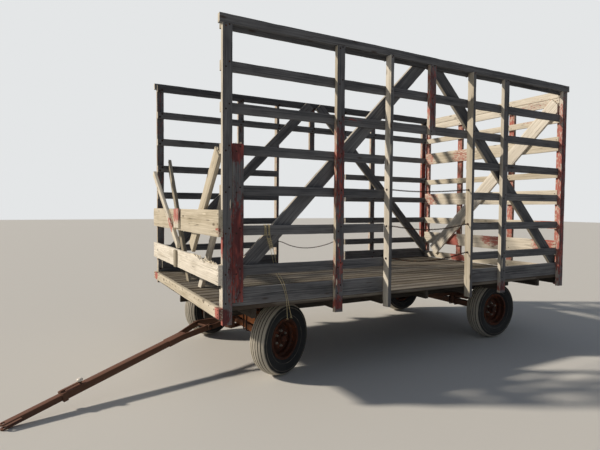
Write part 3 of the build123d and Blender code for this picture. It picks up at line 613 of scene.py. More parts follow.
def finish(name):
    """The named finish, made the first time that a piece asks for it."""
    scene = bpy.context.scene
    wood, steel = scene.wagon_lumber, scene.wagon_steel
    finishes = {
        "weathered_pine": (weathered_lumber, wood.pale, wood.dark, wood),
        # The rack's wood in painted shade, with painted sunlight on its faces towards the front
        "weathered_rack_pine": (weathered_lumber, wood.rack_pale_in_shade, wood.rack_dark_in_shade, wood, 0.85),
        "trodden_pine": (weathered_lumber, wood.deck_pale, wood.deck_dark, wood, 0.0, True),
        "dark_sill_pine": (weathered_lumber, wood.sill_pale, wood.sill_dark, wood),
        "torn_pine": (torn_wood, wood),
        "rusted_gear": (rusted_steel, steel.scale, steel.rust, steel, steel.gear_dust, 0.5),
        "rusted_tongue": (rusted_steel, steel.tongue_scale, steel.tongue_rust, steel, steel.tongue_wear_and_highlight,
                          0.6, 0.06),
        "rusted_enamel": (rusted_steel, steel.rim_paint, steel.rim_rust, steel),
        "rusted_chain": (rusted_steel, steel.scale, steel.chain_rust, steel),
        "zinc_plate": (zinc_plate, steel),
        "white_enamel": (white_enamel, steel),
        "aged_rubber": (aged_rubber, scene.wagon_tyre),
        "baler_twine": (twine_fibre, scene.wagon_cord),
    }
    maker, *details = finishes[name]
    return bpy.data.materials.get(name) or maker(name, *details)


# Stage

# How far the floor reaches in metres, and where the large lamp shines from
floor_reach = 60.0
key_from = Vector((0.76, -0.42, 0.5))


class WAGON_OT_camera(Operator):
    """Place the camera where the photograph was taken"""
    bl_idname = "wagon.camera"
    bl_label = "Camera"

    def execute(self, context):
        scene, stage = context.scene, context.scene.wagon_stage
        camera = bpy.data.objects.new("camera", bpy.data.cameras.new("camera"))
        camera.data.lens = stage.lens
        camera.data.clip_end = 200.0
        turn = (Matrix.Rotation(stage.heading - math.pi / 2, 4, "Z")
                @ Matrix.Rotation(math.pi / 2 + stage.pitch, 4, "X") @ Matrix.Rotation(stage.roll, 4, "Z"))
        camera.matrix_world = Matrix.Translation(stage.eye) @ turn
        scene.collection.objects.link(camera)
        scene.camera = camera
        return {"FINISHED"}


class WAGON_OT_stage(Operator):
    """Lay the pale floor and set the soft light"""
    bl_idname = "wagon.stage"
    bl_label = "Floor and Light"

    def execute(self, context):
        scene, stage = context.scene, context.scene.wagon_stage
        scene.view_settings.view_transform = "Standard"
        ground = min(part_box(name)[0].z for name in bodies["rear_left_wheel"])
        mesh = bpy.data.meshes.new("floor")
        signs = ((-1, -1), (1, -1), (1, 1), (-1, 1))
        corners = [(x * floor_reach, y * floor_reach, ground) for x, y in signs]
        mesh.from_pydata(corners, [], [(0, 1, 2, 3)])
        paint, _ = begun("matt_floor_paint")
        sockets = {"Base Color": stage.floor, "Roughness": 0.9, "Specular IOR Level": 0.2}
        mesh.materials.append(shaded(paint, sockets))
        floor = bpy.data.objects.new("floor", mesh)
        scene.collection.objects.link(floor)

        lamp = bpy.data.lights.new("key", "SUN")
        lamp.energy = stage.key
        lamp.angle = stage.key_size
        lamp.color = stage.key_tint
        holder = bpy.data.objects.new("key", lamp)
        holder.rotation_euler = key_from.to_track_quat("Z", "Y").to_euler()
        scene.collection.objects.link(holder)

        scene.world = bpy.data.worlds.new("studio")
        scene.world.use_nodes = True
        tree = scene.world.node_tree
        tree.nodes.clear()
        rays = node(tree, "LightPath").node.outputs
        seen = rays["Is Camera Ray"]
        for name in ("Is Glossy Ray", "Is Transmission Ray"):
            seen = node(tree, "Math", (seen, rays[name]), operation="MAXIMUM")
        fill = node(tree, "Background", {"Color": stage.fill_tint, "Strength": stage.fill})
        backdrop = node(tree, "Background", {"Color": stage.backdrop, "Strength": 1.0})
        node(tree, "OutputWorld", {"Surface": node(tree, "MixShader", (seen, fill, backdrop))})
        return {"FINISHED"}


# Chains and twine

def cord_line(points):
    """The smooth line that a cord follows, read from its own spline."""
    curve = bpy.data.curves.new("route", "CURVE")
    curve.dimensions = "3D"
    spline = curve.splines.new("NURBS")
    spline.points.add(len(points) - 1)
    for control, point in zip(spline.points, points):
        control.co = (*point, 1.0)
    spline.order_u = 3
    spline.use_endpoint_u = True
    spline.resolution_u = 24
    holder = bpy.data.objects.new("route", curve)
    mesh = bpy.data.meshes.new_from_object(holder)
    line = [v.co.copy() for v in mesh.vertices]
    bpy.data.meshes.remove(mesh)
    bpy.data.objects.remove(holder)
    bpy.data.curves.remove(curve)
    return line


def line_length(line):
    return sum((b - a).length for a, b in zip(line, line[1:]))


def stations(line, count):
    """Evenly spaced places along a line, each with its direction."""
    reach = line_length(line)
    marks = [reach * (i + 0.5) / count for i in range(count)]
    found, walked = [], 0.0
    for a, b in zip(line, line[1:]):
        step = (b - a).length
        while marks and marks[0] <= walked + step:
            found.append((a.lerp(b, (marks.pop(0) - walked) / step), (b - a).normalized()))
        walked += step
    return found


# The rails' outer face, and the door posts beside it
rail_face = 1295
door_half = 580
door_post_half = 42.5
post_line = rail_face + door_post_half

# The chains' routes in millimetres, as the frame has them: side, then places along the wall and heights
chain_routes = {
    "upper_chain": (1, ((-door_half, 1095), (-540, 1095), (-330, 1078), (-90, 1064),
                        (150, 1058), (380, 1061), (540, 1070), (door_half, 1070))),
    "middle_chain": (1, ((-door_half, 700), (-540, 700), (-330, 664), (-90, 644),
                         (150, 646), (380, 668), (540, 691), (door_half, 691))),
    "lower_chain": (1, ((-door_half, 372), (-540, 372), (-330, 330), (-90, 304),
                        (150, 300), (380, 322), (540, 354), (door_half, 354))),
    "right_chain": (-1, ((-door_half, 350), (-530, 350), (-360, 286), (-110, 236),
                         (130, 230), (350, 274), (530, 355), (door_half, 355))),
}

# A link's lean from the level, the steps in each of its bends and the sides of its wire
link_lean = 42
link_steps = 7
link_sides = 7


class WAGON_OT_chains(Operator):
    """Hang the link chains across the doors on their eye bolts"""
    bl_idname = "wagon.chains"
    bl_label = "Chains"

    def execute(self, context):
        cords = context.scene.wagon_cord
        wire = cords.wire / 2
        bend = cords.link_width / 2 - wire
        for name, (side, route) in chain_routes.items():
            line = cord_line([spot(x, side * post_line, z) for x, z in route])
            length = line_length(line)
            count = round(length / cords.link_pitch)
            straight = length / count + 2 * wire - 2 * bend
            links = Shape()
            for i, (middle, ahead) in enumerate(stations(line, count)):
                across, up = sides_of(ahead)
                lean = math.radians(link_lean + (90 if i % 2 else 0))
                wide = across * math.cos(lean) + up * math.sin(lean)
                ends = arc(middle + ahead * straight / 2, wide, ahead, bend, 0, 180, link_steps)
                ends += arc(middle - ahead * straight / 2, wide, ahead, bend, 180, 360, link_steps)
                links.add(tube(ends, wire, link_sides, closed=True))
            chain = links.piece(name + "_links", "wagon", "rusted_chain", "chain_steel", [name])
            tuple(line[0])
        return {"FINISHED"}


# Eye bolts: ring, its opening in degrees, shank, the post that they go through and their washers
eye_ring = 9
eye_wire = 3
eye_opening = 18
shank_start, shank_end = -2, 8
post_through = 40
washer_bore = 4
eye_nut = (13, 6, 5)
near_washer, far_washer = 11, 12


class WAGON_OT_eye_bolts(Operator):
    """Screw the chains' eye bolts into the door posts"""
    bl_idname = "wagon.eye_bolts"
    bl_label = "Eye Bolts"

    def execute(self, context):
        eyes = Shape()
        for side, route in chain_routes.values():
            for (x, z), outward in ((route[0], -1), (route[-1], 1)):
                face = spot(x, side * post_line, z)
                away = X * outward
                centre = face - away * (eye_ring * 0.9 * MM)
                turned = arc(centre, away, Z, eye_ring * MM, eye_opening, 360 - eye_opening, 18)
                eyes.add(tube(turned, eye_wire * MM, 8))
                eyes.add(lathe([(shank_start, eye_wire), (shank_end, eye_wire)], face, away, 8))
                eyes.add(washer(face, -away, near_washer, washer_bore))
                far = face + away * post_through * MM
                eyes.add(washer(far, away, far_washer, washer_bore))
                eyes.add(hexagon(far + away * washer_thick * MM, away, *eye_nut))
        eyes.piece("chain_eye_bolts", "wagon", "rusted_chain", "chain_steel")
        return {"FINISHED"}


# The twine's routes in millimetres, as the frame has them: along the wall, out from the rails, height
twine_routes = {
    "front_twine": ((1978, -17, 718.3), (1978, -4, 721.5), (1977, 8, 715), (1975, 9, 690), (1971, 7, 648),
                    (1960, 8, 596), (1942, 5, 545), (1923, -5, 494), (1902, -24, 444), (1883, -41, 396),
                    (1865, -49, 345), (1853, -52, 299), (1843, -49, 256), (1831, -27, 221), (1815, 3, 184),
                    (1798, 11, 138), (1781, 9, 90), (1768, 10, 40), (1760, 8, -12), (1757, 10, -66),
                    (1755, 8, -118), (1750, 7, -165)),
    "rear_twine": ((1944, -18, 718.3), (1943, -5, 721.5), (1942, 8, 716), (1940, 9, 692), (1938, 8, 650),
                   (1931, 7, 598), (1916, 6, 548), (1896, -5, 498), (1873, -25, 449), (1855, -42, 399),
                   (1841, -49, 348), (1829, -52, 300), (1816, -49, 257), (1803, -26, 221), (1791, 3, 184),
                   (1779, 11, 138), (1766, 9, 88), (1752, 8, 38), (1741, 10, -14), (1731, 8, -66),
                   (1719, 9, -112), (1709, 7, -150)),
}

# The plies' radius as a share of the twine's diameter, and their steps in one turn
ply_share = 0.29
lay_steps = 7

# The hitch: lower and upper edge and thickness of the rail that it goes round, the cord's radius as a share
# of the twine's diameter, how far it clears the rail, where its two turns lie and how far they stray, and
# where the knot sits, out from the rail and below its upper edge, and how large it is
hitch_rail = (626.5, 715.5)
hitch_rail_thick = 38
hitch_share = 0.4
hitch_gap = 0.3
hitch_turns = (-5, 4)
hitch_slip = 4
knot_out, knot_drop, knot_radius = 7, 16, 6.5

# Loose fibres at the knots, at the cut ends and along the tangle: how many, their reach and their spread
knot_fray = (16, 18, 5)
end_fray = (12, 14, 2)
tangle_fray = (2, 14, 2)

# The tangle's lowest and highest end, its turns and the steps in each. It clears the strands by a share of
# the twine's diameter, its own radius is another share, and its turns stray up and down
tangle_reach = (495, 598)
tangle_turns = 6
tangle_steps = 12
tangle_clear, tangle_share = 0.8, 0.42
tangle_slip = 1.2


def twine_line(route):
    """The line of a strand of twine in the wagon's frame."""
    return cord_line([spot(x, rail_face + out, z) for x, out, z in route])


def twisted(line, diameter, lay, ply_count=2):
    """The plies of a twine, wound round its line."""
    ply = diameter * ply_share
    offset = diameter / 2 - ply
    places = stations(line, round(line_length(line) / (lay / lay_steps)))
    across = sides_of(places[0][1])[0]
    frames = []
    for middle, ahead in places:
        across = (across - ahead * across.dot(ahead)).normalized()
        frames.append((middle, across.copy(), ahead.cross(across)))
    for k in range(ply_count):
        strand = []
        for i, (middle, side, up) in enumerate(frames):
            turn = 2 * math.pi * (i / lay_steps + k / ply_count)
            strand.append(middle + (side * math.cos(turn) + up * math.sin(turn)) * offset)
        yield tube(strand, ply, 6)


def frayed(root, count, reach, spread_by, rng):
    """Loose fibres that stand out of a twine and droop, their reach and their spread in mm."""
    tuft = Shape()
    for _ in range(count):
        foot = root + Vector(rng.uniform(-1, 1) for _ in range(3)) * spread_by * MM
        out = Vector((rng.uniform(-1, 1), rng.uniform(-0.6, 0.8), rng.uniform(-1.2, 0.4))).normalized()
        length = reach * MM * rng.uniform(0.6, 1.4)
        hair = [foot, foot + out * length * 0.5, foot + out * length - Z * (0.25 * length)]
        tuft.add(tube(hair, [0.8 * MM, 0.6 * MM, 0.3 * MM], 4))
    return tuft.points, tuft.faces


def hitched(x, radius, rng):
    """The turns of the twine round its rail and the knot below them."""
    hitch = Shape()
    bottom, top = (z * MM for z in hitch_rail)
    clear = radius + hitch_gap * MM
    back = -hitch_rail_thick * MM - clear
    face = rail_face * MM
    for shift in hitch_turns:
        loop = [(clear, bottom - clear), (clear, top + clear), (back, top + clear), (back, bottom - clear)]
        corners = [Vector((x + (shift + rng.uniform(-hitch_slip, hitch_slip)) * MM, face + out, z))
                   for out, z in loop]
        turned = []
        for a, b in zip(corners, corners[1:] + corners[:1]):
            turned += [a.lerp(b, share) for share in (0.04, 0.3, 0.7, 0.96)]
        hitch.add(tube(turned, radius, 7, closed=True))
    knot = Vector((x, face + knot_out * MM, top - knot_drop * MM))
    for k in range(3):
        tilt = math.radians(60 * k + 20)
        turned = arc(knot, (math.cos(tilt), 0, math.sin(tilt)), (0, 1, 0.3), knot_radius * MM, 0, 345, 16)
        hitch.add(tube(turned, radius, 7))
    hitch.add(frayed(knot, *knot_fray, rng))
    return hitch


class WAGON_OT_twine(Operator):
    """Hang the two strands of baler twine, with their hitch round the second rail"""
    bl_idname = "wagon.twine"
    bl_label = "Twine"

    def execute(self, context):
        thick = context.scene.wagon_cord.twine_diameter
        rng = random.Random(5)
        for name, route in twine_routes.items():
            line = twine_line(route)
            strands = Shape()
            for ply in twisted(line, thick, context.scene.wagon_cord.twine_lay):
                strands.add(ply)
            cord = strands.piece(name + "_plies", "wagon", "baler_twine", "twine_fibre", [name])
            hitch = hitched(route[0][0] * MM, thick * hitch_share, rng)
            hitch.add(frayed(line[-1], *end_fray, rng))
            knot = hitch.piece(name + "_hitch", "wagon", "baler_twine", "twine_fibre")
            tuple(line[0])
            line_length(line)
        return {"FINISHED"}


class WAGON_OT_twine_tangle(Operator):
    """Wind the tangle that ties the two strands of twine together below the second rail"""
    bl_idname = "wagon.twine_tangle"
    bl_label = "Twine Tangle"

    def execute(self, context):
        thick = context.scene.wagon_cord.twine_diameter
        rng = random.Random(17)
        low, high = (z * MM for z in tangle_reach)
        strands = [twine_line(route) for route in twine_routes.values()]
        count = tangle_turns * tangle_steps
        wound = []
        for i in range(count + 1):
            z = high + (low - high) * i / count
            first, second = (min(strand, key=lambda p: abs(p.z - z)) for strand in strands)
            half = (first - second).length / 2 + thick * tangle_clear
            turn = 2 * math.pi * i / tangle_steps
            slip = rng.uniform(-tangle_slip, tangle_slip) * MM
            wound.append((first + second) / 2 + Vector((math.cos(turn) * half, math.sin(turn) * thick, slip)))
        tangle = Shape()
        tangle.add(tube(wound, thick * tangle_share, 7))
        for place in wound[::3]:
            tangle.add(frayed(place, *tangle_fray, rng))
        tangle.piece("twine_tangle", "wagon", "baler_twine", "twine_fibre")
        return {"FINISHED"}


# Lumber

# Each wooden node: finish, slot, worn radius in mm, share of its bow, share of old paint
lumber = {
    "deck_planks": ("trodden_pine", "deck_wood", 3.5, 0.7, 0.0),
    "cross_sills": ("dark_sill_pine", "deck_wood", 3.5, 0.4, 0.0),
    "main_sills": ("dark_sill_pine", "deck_wood", 4.0, 0.4, 0.0),
    "front_end_board": ("weathered_pine", "sunned_wood", 4.0, 0.8, 0.12),
    "left_posts": ("weathered_rack_pine", "post_wood", 5.0, 0.6, 0.20),
    "right_posts": ("weathered_rack_pine", "post_wood", 5.0, 0.6, 0.42),
    "left_rails": ("weathered_rack_pine", "rack_wood", 4.5, 1.2, 0.08),
    "right_rails": ("weathered_rack_pine", "rack_wood", 4.5, 1.2, 0.08),
    "left_side_boards": ("weathered_rack_pine", "rack_wood", 4.5, 1.0, 0.0),
    "right_side_boards": ("weathered_rack_pine", "rack_wood", 4.5, 1.0, 0.0),
    "left_cap": ("weathered_rack_pine", "rack_wood", 6.0, 1.6, 0.18),
    "right_cap": ("weathered_rack_pine", "rack_wood", 6.0, 1.6, 0.18),
    "left_braces": ("weathered_rack_pine", "rack_wood", 4.5, 1.0, 0.0),
    "right_braces": ("weathered_rack_pine", "rack_wood", 4.5, 1.0, 0.0),
    "rear_posts": ("weathered_pine", "post_wood", 5.0, 0.6, 0.56),
    "rear_boards": ("weathered_pine", "sunned_wood", 4.0, 1.0, 0.24),
    "rear_brace": ("weathered_pine", "sunned_wood", 4.0, 1.0, 0.05),
    "front_upper_board": ("weathered_pine", "sunned_wood", 4.0, 1.0, 0.12),
    "front_lower_board": ("weathered_pine", "sunned_wood", 4.0, 1.0, 0.05),
    "front_braces": ("weathered_pine", "sunned_wood", 4.0, 0.8, 0.1),
}

# Boards that are larger in the photograph than in the frame: how much is added above and at the foot of a
# side brace, and below and above the front rack's inner brace
brace_widened, brace_lengthened = 51, 170
inner_brace_widened = (25, 26)
# Where boards are sawn off: the side braces' feet, the near knee brace's head and the broken board
brace_foot_end = 2352
brace_foot_low = 40
knee_brace_top = 1425
lower_board_top = 394
# The boards of the front braces, in the frame's order
cleat, far_knee, near_knee, inner_brace, outer_brace = range(5)
# Boards darkened as painted shade, by the share of their tone that is left
brace_shades = {cleat: 0.55, far_knee: 0.62, inner_brace: 0.80}
# The top rails sit under the caps, and the caps' shade on them is painted as a darker tone
top_rail_foot = 2400
top_rail_shade = 0.6
# A board's tone is drawn between these
board_tone = (0.82, 1.14)

# Where more of the old paint is left: middle, reach along X, Y and Z, all in mm, and how much it adds
paint_patches = {
    "left_posts": (
        ((2256, 1318, 330), (110, 90, 760), 0.42),
        ((2256, 1318, 1400), (110, 90, 190), 0.42),
        ((2256, 1318, 1000), (110, 90, 700), 0.20),
        ((2380, 1318, 250), (60, 60, 620), 0.18),
        ((2400, 1318, 600), (30, 60, 190), 0.36),
        ((2400, 1318, -90), (50, 60, 120), 0.60),
        ((1200, 1318, 1250), (110, 90, 900), 0.34),
        ((1200, 1318, 260), (110, 90, 420), 0.30),
        ((1200, 1318, -80), (80, 60, 120), 0.60),
        ((0, 1318, 2100), (110, 90, 700), 0.32),
        ((-1200, 1318, -80), (80, 60, 130), 0.60),
        ((-2356, 1318, 1100), (220, 200, 2000), 0.36),
    ),
    "left_rails": (
        ((1010, 1276, 1740), (260, 60, 90), 0.36),
        ((420, 1276, 2095), (240, 60, 80), 0.32),
        ((-640, 1276, 1740), (160, 60, 80), 0.30),
    ),
    "right_posts": (
        ((-2360, -1318, 1000), (80, 60, 1600), 0.34),
        ((-600, -1337, 1000), (60, 80, 1600), 0.28),
    ),
    "scab": (((2462, -40, 790), (60, 320, 150), 0.50),),
    "front_braces": (((2476, -250, 680), (60, 200, 170), 0.46),),
    "front_upper_board": (
        ((2438, -200, 770), (60, 260, 120), 0.16),
        ((2438, 1320, 670), (60, 90, 80), 0.45),
    ),
    "front_end_board": (
        ((2438, -1210, -40), (60, 170, 90), 0.60),
        ((2438, 1300, -40), (80, 110, 160), 0.55),
    ),
    "rear_boards": (
        ((-2362, -567, 242), (60, 170, 200), 0.50),
        ((-2362, -684, 423), (60, 280, 180), 0.38),
        ((-2362, -452, 48), (60, 200, 120), 0.52),
        ((-2362, 220, 424), (60, 330, 170), 0.34),
        ((-2362, 1080, 475), (60, 260, 600), 0.36),
        ((-2362, 900, 2250), (60, 480, 260), 0.20),
        ((-2362, -1130, 1060), (60, 330, 240), 0.26),
        ((-2362, -1220, 1760), (60, 300, 260), 0.26),
        ((-2362, -452, 1740), (60, 260, 240), 0.27),
    ),
}


def hashed(seed):
    """A place in the noise that no other seed has."""
    return Vector((seed * 7.31 % 61.7, seed * 3.77 % 53.1, seed * 5.13 % 47.9))


def paint_at(name, point, base):
    """How much of the old paint is left at a point of a node."""
    left = base
    for middle, reach, share in paint_patches.get(name, ()):
        away = Vector((point[i] / MM - middle[i]) / reach[i] for i in range(3)).length
        left += share * min(1.0, max(0.0, 2 * (1 - away)))
    return min(left, 1.0)


def cut(solid, place, away, beyond=False):
    """Cuts a solid along a plane, and drops what lies beyond it if that is wanted."""
    whole = solid.verts[:] + solid.edges[:] + solid.faces[:]
    return bmesh.ops.bisect_plane(solid, geom=whole, plane_co=place, plane_no=away, clear_outer=beyond)


def enlarged(solid, below, above, foot):
    """Moves a sloping board's lower edge, its upper edge and its foot outward."""
    board = Board(solid)
    across = board.axes[1] if board.axes[1].z > 0 else -board.axes[1]
    upward = board.axes[0] if board.axes[0].z > 0 else -board.axes[0]
    for vert in solid.verts:
        reach = vert.co - board.centre
        vert.co += across * (above if reach.dot(across) > 0 else -below) * MM
        if reach.dot(upward) < 0:
            vert.co -= upward * foot * MM


def sawn_off(solid, place, away):
    """Saws off what lies beyond a plane, and closes the end."""
    rim = [e for e in cut(solid, place, away, beyond=True)["geom_cut"] if isinstance(e, bmesh.types.BMEdge)]
    if rim:
        bmesh.ops.contextual_create(solid, geom=rim)
    bmesh.ops.recalc_face_normals(solid, faces=solid.faces)
    solid.normal_update()


def reshaped(name, index, solid):
    """Gives a board the size that the photograph shows, where the frame's differs."""
    if name in ("left_braces", "right_braces"):
        enlarged(solid, 0, brace_widened, brace_lengthened)
        outward = X * math.copysign(1, Board(solid).centre.x)
        sawn_off(solid, Vector(), -outward)
        sawn_off(solid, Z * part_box("left_rails")[1].z, Z)
        sawn_off(solid, outward * brace_foot_end * MM, outward)
        sawn_off(solid, Z * brace_foot_low * MM, -Z)
    if (name, index) == ("front_braces", inner_brace):
        enlarged(solid, *inner_brace_widened, 0)
    if (name, index) == ("front_braces", near_knee):
        sawn_off(solid, Z * knee_brace_top * MM, Z)
    if name == "front_lower_board":
        sawn_off(solid, Z * lower_board_top * MM, Z)


# Cuts along a board are moved by this share of their spacing. A wide board is cut lengthwise too, at these
# shares of its half width, so that it can cup
cut_slip = 0.25
wide_board = 60
cup_cuts = (-0.4, 0.0, 0.4)
# How many times the worn radius a board's edges and its ends are worn
edge_reach, end_reach = 1.2, 1.5
# Waves of the noise per metre along, across and through: a bow, chips and a ragged end
bow_waves = (0.9, 0.0, 0.0)
chip_waves = (9, 6, 6)
end_waves = (3, 30, 30)


def waved(place, waves, drift):
    """The noise at a place, with so many waves per metre along each axis."""
    return noise.noise(Vector(p * w for p, w in zip(place, waves)) + drift)


def weathered(name, solid, wear, bow_share, paint, seed, rng, settings):
    """A board cut into short lengths, with rounded, chipped edges and a slight bow, and its point values."""
    board = Board(solid)
    along, across, through = board.axes
    half_long, half_wide, half_thick = board.half
    middle = board.centre
    cuts = max(3, round(2 * half_long / settings.section))
    for i in range(1, cuts):
        share = (i + rng.uniform(-cut_slip, cut_slip)) / cuts
        cut(solid, along * (middle.dot(along) - half_long + 2 * half_long * share), along)
    wide = half_wide > wide_board * MM
    for share in cup_cuts if wide else ():
        cut(solid, across * (middle.dot(across) + share * half_wide), across)
    solid.normal_update()
    radius = min(wear * MM, half_thick * 0.4)
    rounded(solid, sharp_edges(solid), radius)
    drift = hashed(seed)
    cup = rng.uniform(-1, 1) * settings.cup if wide else 0.0
    shift = Vector((rng.uniform(0, 40), rng.uniform(0, 9), rng.uniform(0, 9)))
    values = {"grain": [], "edge": [], "paint": []}
    moved = []
    for vert in solid.verts:
        from_middle = vert.co - middle
        place = a, c, t = [from_middle.dot(axis) for axis in board.axes]
        bow = settings.bow * bow_share
        move = through * waved(place, bow_waves, drift) * bow
        move += across * waved(place, bow_waves, drift + Vector((0, 31, 7))) * bow
        move += through * cup * ((c / half_wide) ** 2 - 0.4)
        worn = abs(c) > half_wide - radius * edge_reach and abs(t) > half_thick - radius * edge_reach
        if worn:
            chip = max(0.0, waved(place, chip_waves, drift) + 0.15) * settings.chip
            move -= across * math.copysign(chip, c) + through * math.copysign(chip * 0.7, t)
        if abs(a) > half_long - radius * end_reach:
            move += along * waved(place, end_waves, drift) * settings.ragged
        values["grain"].append(Vector(place) + shift)
        values["edge"].append(1.0 if worn else 0.0)
        values["paint"].append(paint_at(name, vert.co, paint))
        moved.append(vert.co + move)
    return (moved, taken(solid)[1]), values


class WAGON_OT_lumber(Operator):
    """Rebuild every board of the frame with worn edges, a slight bow and its own grain"""
    bl_idname = "wagon.lumber"
    bl_label = "Weathered Lumber"

    def execute(self, context):
        settings = context.scene.wagon_lumber
        rng = random.Random(11)
        for order, (name, (surface, slot, wear, bow_share, paint)) in enumerate(lumber.items()):
            boards = Shape()
            for k, solid in enumerate(solids_of(name)):
                reshaped(name, k, solid)
                under_cap = name.endswith("_rails") and Board(solid).centre.z > top_rail_foot * MM
                seed = 13 * order + k + 1
                part, values = weathered(name, solid, wear, bow_share, paint, seed, rng, settings)
                # Top rails under the caps and some front braces are darkened as painted shade
                tone = rng.uniform(*board_tone) * (top_rail_shade if under_cap else 1.0)
                if name == "front_braces":
                    tone *= brace_shades.get(k, 1.0)
                boards.add(part, tone=tone, **values)
            boards.piece(name + "_lumber", node_body[name], surface, slot, [name])
        return {"FINISHED"}


# Nails and bolts

# Boards cross where they share this much and are no further apart than this
least_lap, greatest_gap = 20, 5
# The broken board's nails stay below this height
lower_nail_top = 372
# How far nails stray, and where they are driven: shares of the shared area's half sizes
nail_slip = 6
post_bolt_x, post_bolt_z = 0.35, 0.5
rear_nail_y, rear_nail_z = 0.4, 0.5
plank_nail_y = 0.55
front_nail_z = 0.35
front_nail_shift = 8
plank_end_drop = 22
# Heights of the nails' and the carriage bolts' heads, and the bolts' washers and nuts
nail_height, bolt_height = 2, 4
bolt_washer = (13, 6)
bolt_nut = (14, 6, 6)


def crossings(first, second, axis):
    """Where the solids of two nodes lie on each other: the middle of their shared area, its half
    sizes, and both corners of each."""
    flat = [i for i in range(3) if i != axis]
    boxes = []
    for name in (first, second):
        solids = solids_of(name)
        boxes.append([bounds_of(solid) for solid in solids])
        for solid in solids:
            solid.free()
    for low_a, high_a in boxes[0]:
        for low_b, high_b in boxes[1]:
            low = Vector(max(low_a[i], low_b[i]) for i in range(3))
            high = Vector(min(high_a[i], high_b[i]) for i in range(3))
            shared = high - low
            if all(shared[i] > least_lap * MM for i in flat) and shared[axis] > -greatest_gap * MM:
                yield (low + high) / 2, shared / 2, (low_a, high_a), (low_b, high_b)


class WAGON_OT_nails(Operator):
    """Drive the nails and carriage bolts at the boards' crossings"""
    bl_idname = "wagon.nails"
    bl_label = "Nails and Bolts"

    def execute(self, context):
        steel = context.scene.wagon_steel
        rng = random.Random(3)
        nails, bolts = Shape(), Shape()

        def nail(place, axis):
            slip = Vector(rng.uniform(-nail_slip, nail_slip) * MM if abs(a) < 0.5 else 0 for a in axis)
            nails.add(bolt_head(place + slip, axis, steel.nail_radius / MM, nail_height))

        def bolt(outside, inside, outward):
            bolts.add(bolt_head(outside, outward, steel.bolt_radius / MM, bolt_height))
            bolts.add(washer(inside, -outward, *bolt_washer, steps=14))
            bolts.add(hexagon(inside - outward * washer_thick * MM, -outward, *bolt_nut))

        for side, side_name in ((1, "left"), (-1, "right")):
            for boards in ("_rails", "_side_boards"):
                for middle, half, post, rail in crossings(side_name + "_posts", side_name + boards, 1):
                    outer, inner = (post[1].y, rail[0].y) if side > 0 else (post[0].y, rail[1].y)
                    for sign in (-1, 1):
                        x = middle.x - sign * half.x * post_bolt_x
                        z = middle.z + sign * half.z * post_bolt_z
                        bolt(Vector((x, outer, z)), Vector((x, inner, z)), Y * side)
            for middle, _, post, _ in crossings(side_name + "_cap", side_name + "_posts", 2):
                nail(Vector((middle.x, middle.y, post[1].z)), Z)
        for middle, half, _, board in crossings("rear_posts", "rear_boards", 0):
            for sign in (-1, 1):
                nail(Vector((board[1].x, middle.y + sign * half.y * rear_nail_y,
                             middle.z - sign * half.z * rear_nail_z)), X)
        for middle, half, plank, _ in crossings("deck_planks", "cross_sills", 2):
            for sign in (-1, 1):
                nail(Vector((middle.x, middle.y + sign * half.y * plank_nail_y, plank[1].z)), Z)
        for board_name in ("front_upper_board", "front_lower_board", "front_end_board"):
            for side_name in ("left", "right"):
                for middle, _, board, _ in crossings(board_name, side_name + "_posts", 0):
                    low, high = board[0].z, board[1].z
                    if board_name == "front_lower_board":
                        high = lower_nail_top * MM
                    for sign in (-1, 0, 1):
                        z = (low + high) / 2 + sign * (high - low) * front_nail_z
                        nail(Vector((board[1].x, middle.y + sign * front_nail_shift * MM, z)), X)
        board_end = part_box("front_end_board")[1]
        for solid in solids_of("deck_planks"):
            low, high = bounds_of(solid)
            nail(Vector((board_end.x, (low.y + high.y) / 2, board_end.z - plank_end_drop * MM)), X)
            solid.free()
        nails.piece("nail_heads", "wagon", "rusted_chain", "chain_steel")
        bolts.piece("carriage_bolts", "wagon", "rusted_chain", "chain_steel")
        return {"FINISHED"}


# Scab board, splinters and scars

# The scab board's ends along the wall, its thickness, and its edges above the upper board's own
scab_ends = (-142, 64)
scab_thick = 24
scab_foot, scab_head = 24, 3
# Its worn radius in mm with the shares of its bow and old paint, its place in the noise, and its tone
scab_wear = (3.0, 0.3, 0.1)
scab_seed = 97
scab_tone = 1.04
# Its nails' tone and heads, and where each is: from which end and how far, from which edge and how far
scab_nail_tone = 0.3
scab_nail = (5, 1.5)
scab_nails = ((1, -30, 1, -40), (0, 34, 1, -60), (1, -44, 0, 30))


class WAGON_OT_scab(Operator):
    """Nail the short scab board on the front upper board"""
    bl_idname = "wagon.scab"
    bl_label = "Scab Board"

    def execute(self, context):
        low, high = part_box("front_upper_board")
        edges = (low.z + scab_foot * MM, high.z + scab_head * MM)
        face = high.x + scab_thick * MM
        solid = block(Vector((high.x, scab_ends[0] * MM, edges[0])),
                      Vector((face, scab_ends[1] * MM, edges[1])))
        rng = random.Random(41)
        settings = context.scene.wagon_lumber
        part, values = weathered("scab", solid, *scab_wear, scab_seed, rng, settings)
        board = Shape()
        board.add(part, tone=scab_tone, **values)
        for end, in_y, edge, in_z in scab_nails:
            place = Vector((face, (scab_ends[end] + in_y) * MM, edges[edge] + in_z * MM))
            head = bolt_head(place, X, *scab_nail)
            board.add(head, tone=scab_nail_tone, grain=Vector(), edge=0.0, paint=0.0)
        board.piece("scab_board", node_body["front_upper_board"], "weathered_pine", "sunned_wood")
        return {"FINISHED"}


# A splinter's half width and half thickness along its length, as shares, and how far its tip bends
splinter_shape = ((0.5, 0.5), (0.42, 0.4), (0.24, 0.25), (0.03, 0.05))
splinter_bend = 0.06
# A scar's rim: its steps, how blunt its ends are, how rough it is and how far it stands proud in mm
scar_steps = 20
scar_blunt = 0.4
scar_rough = 0.16
scar_proud = 0.6


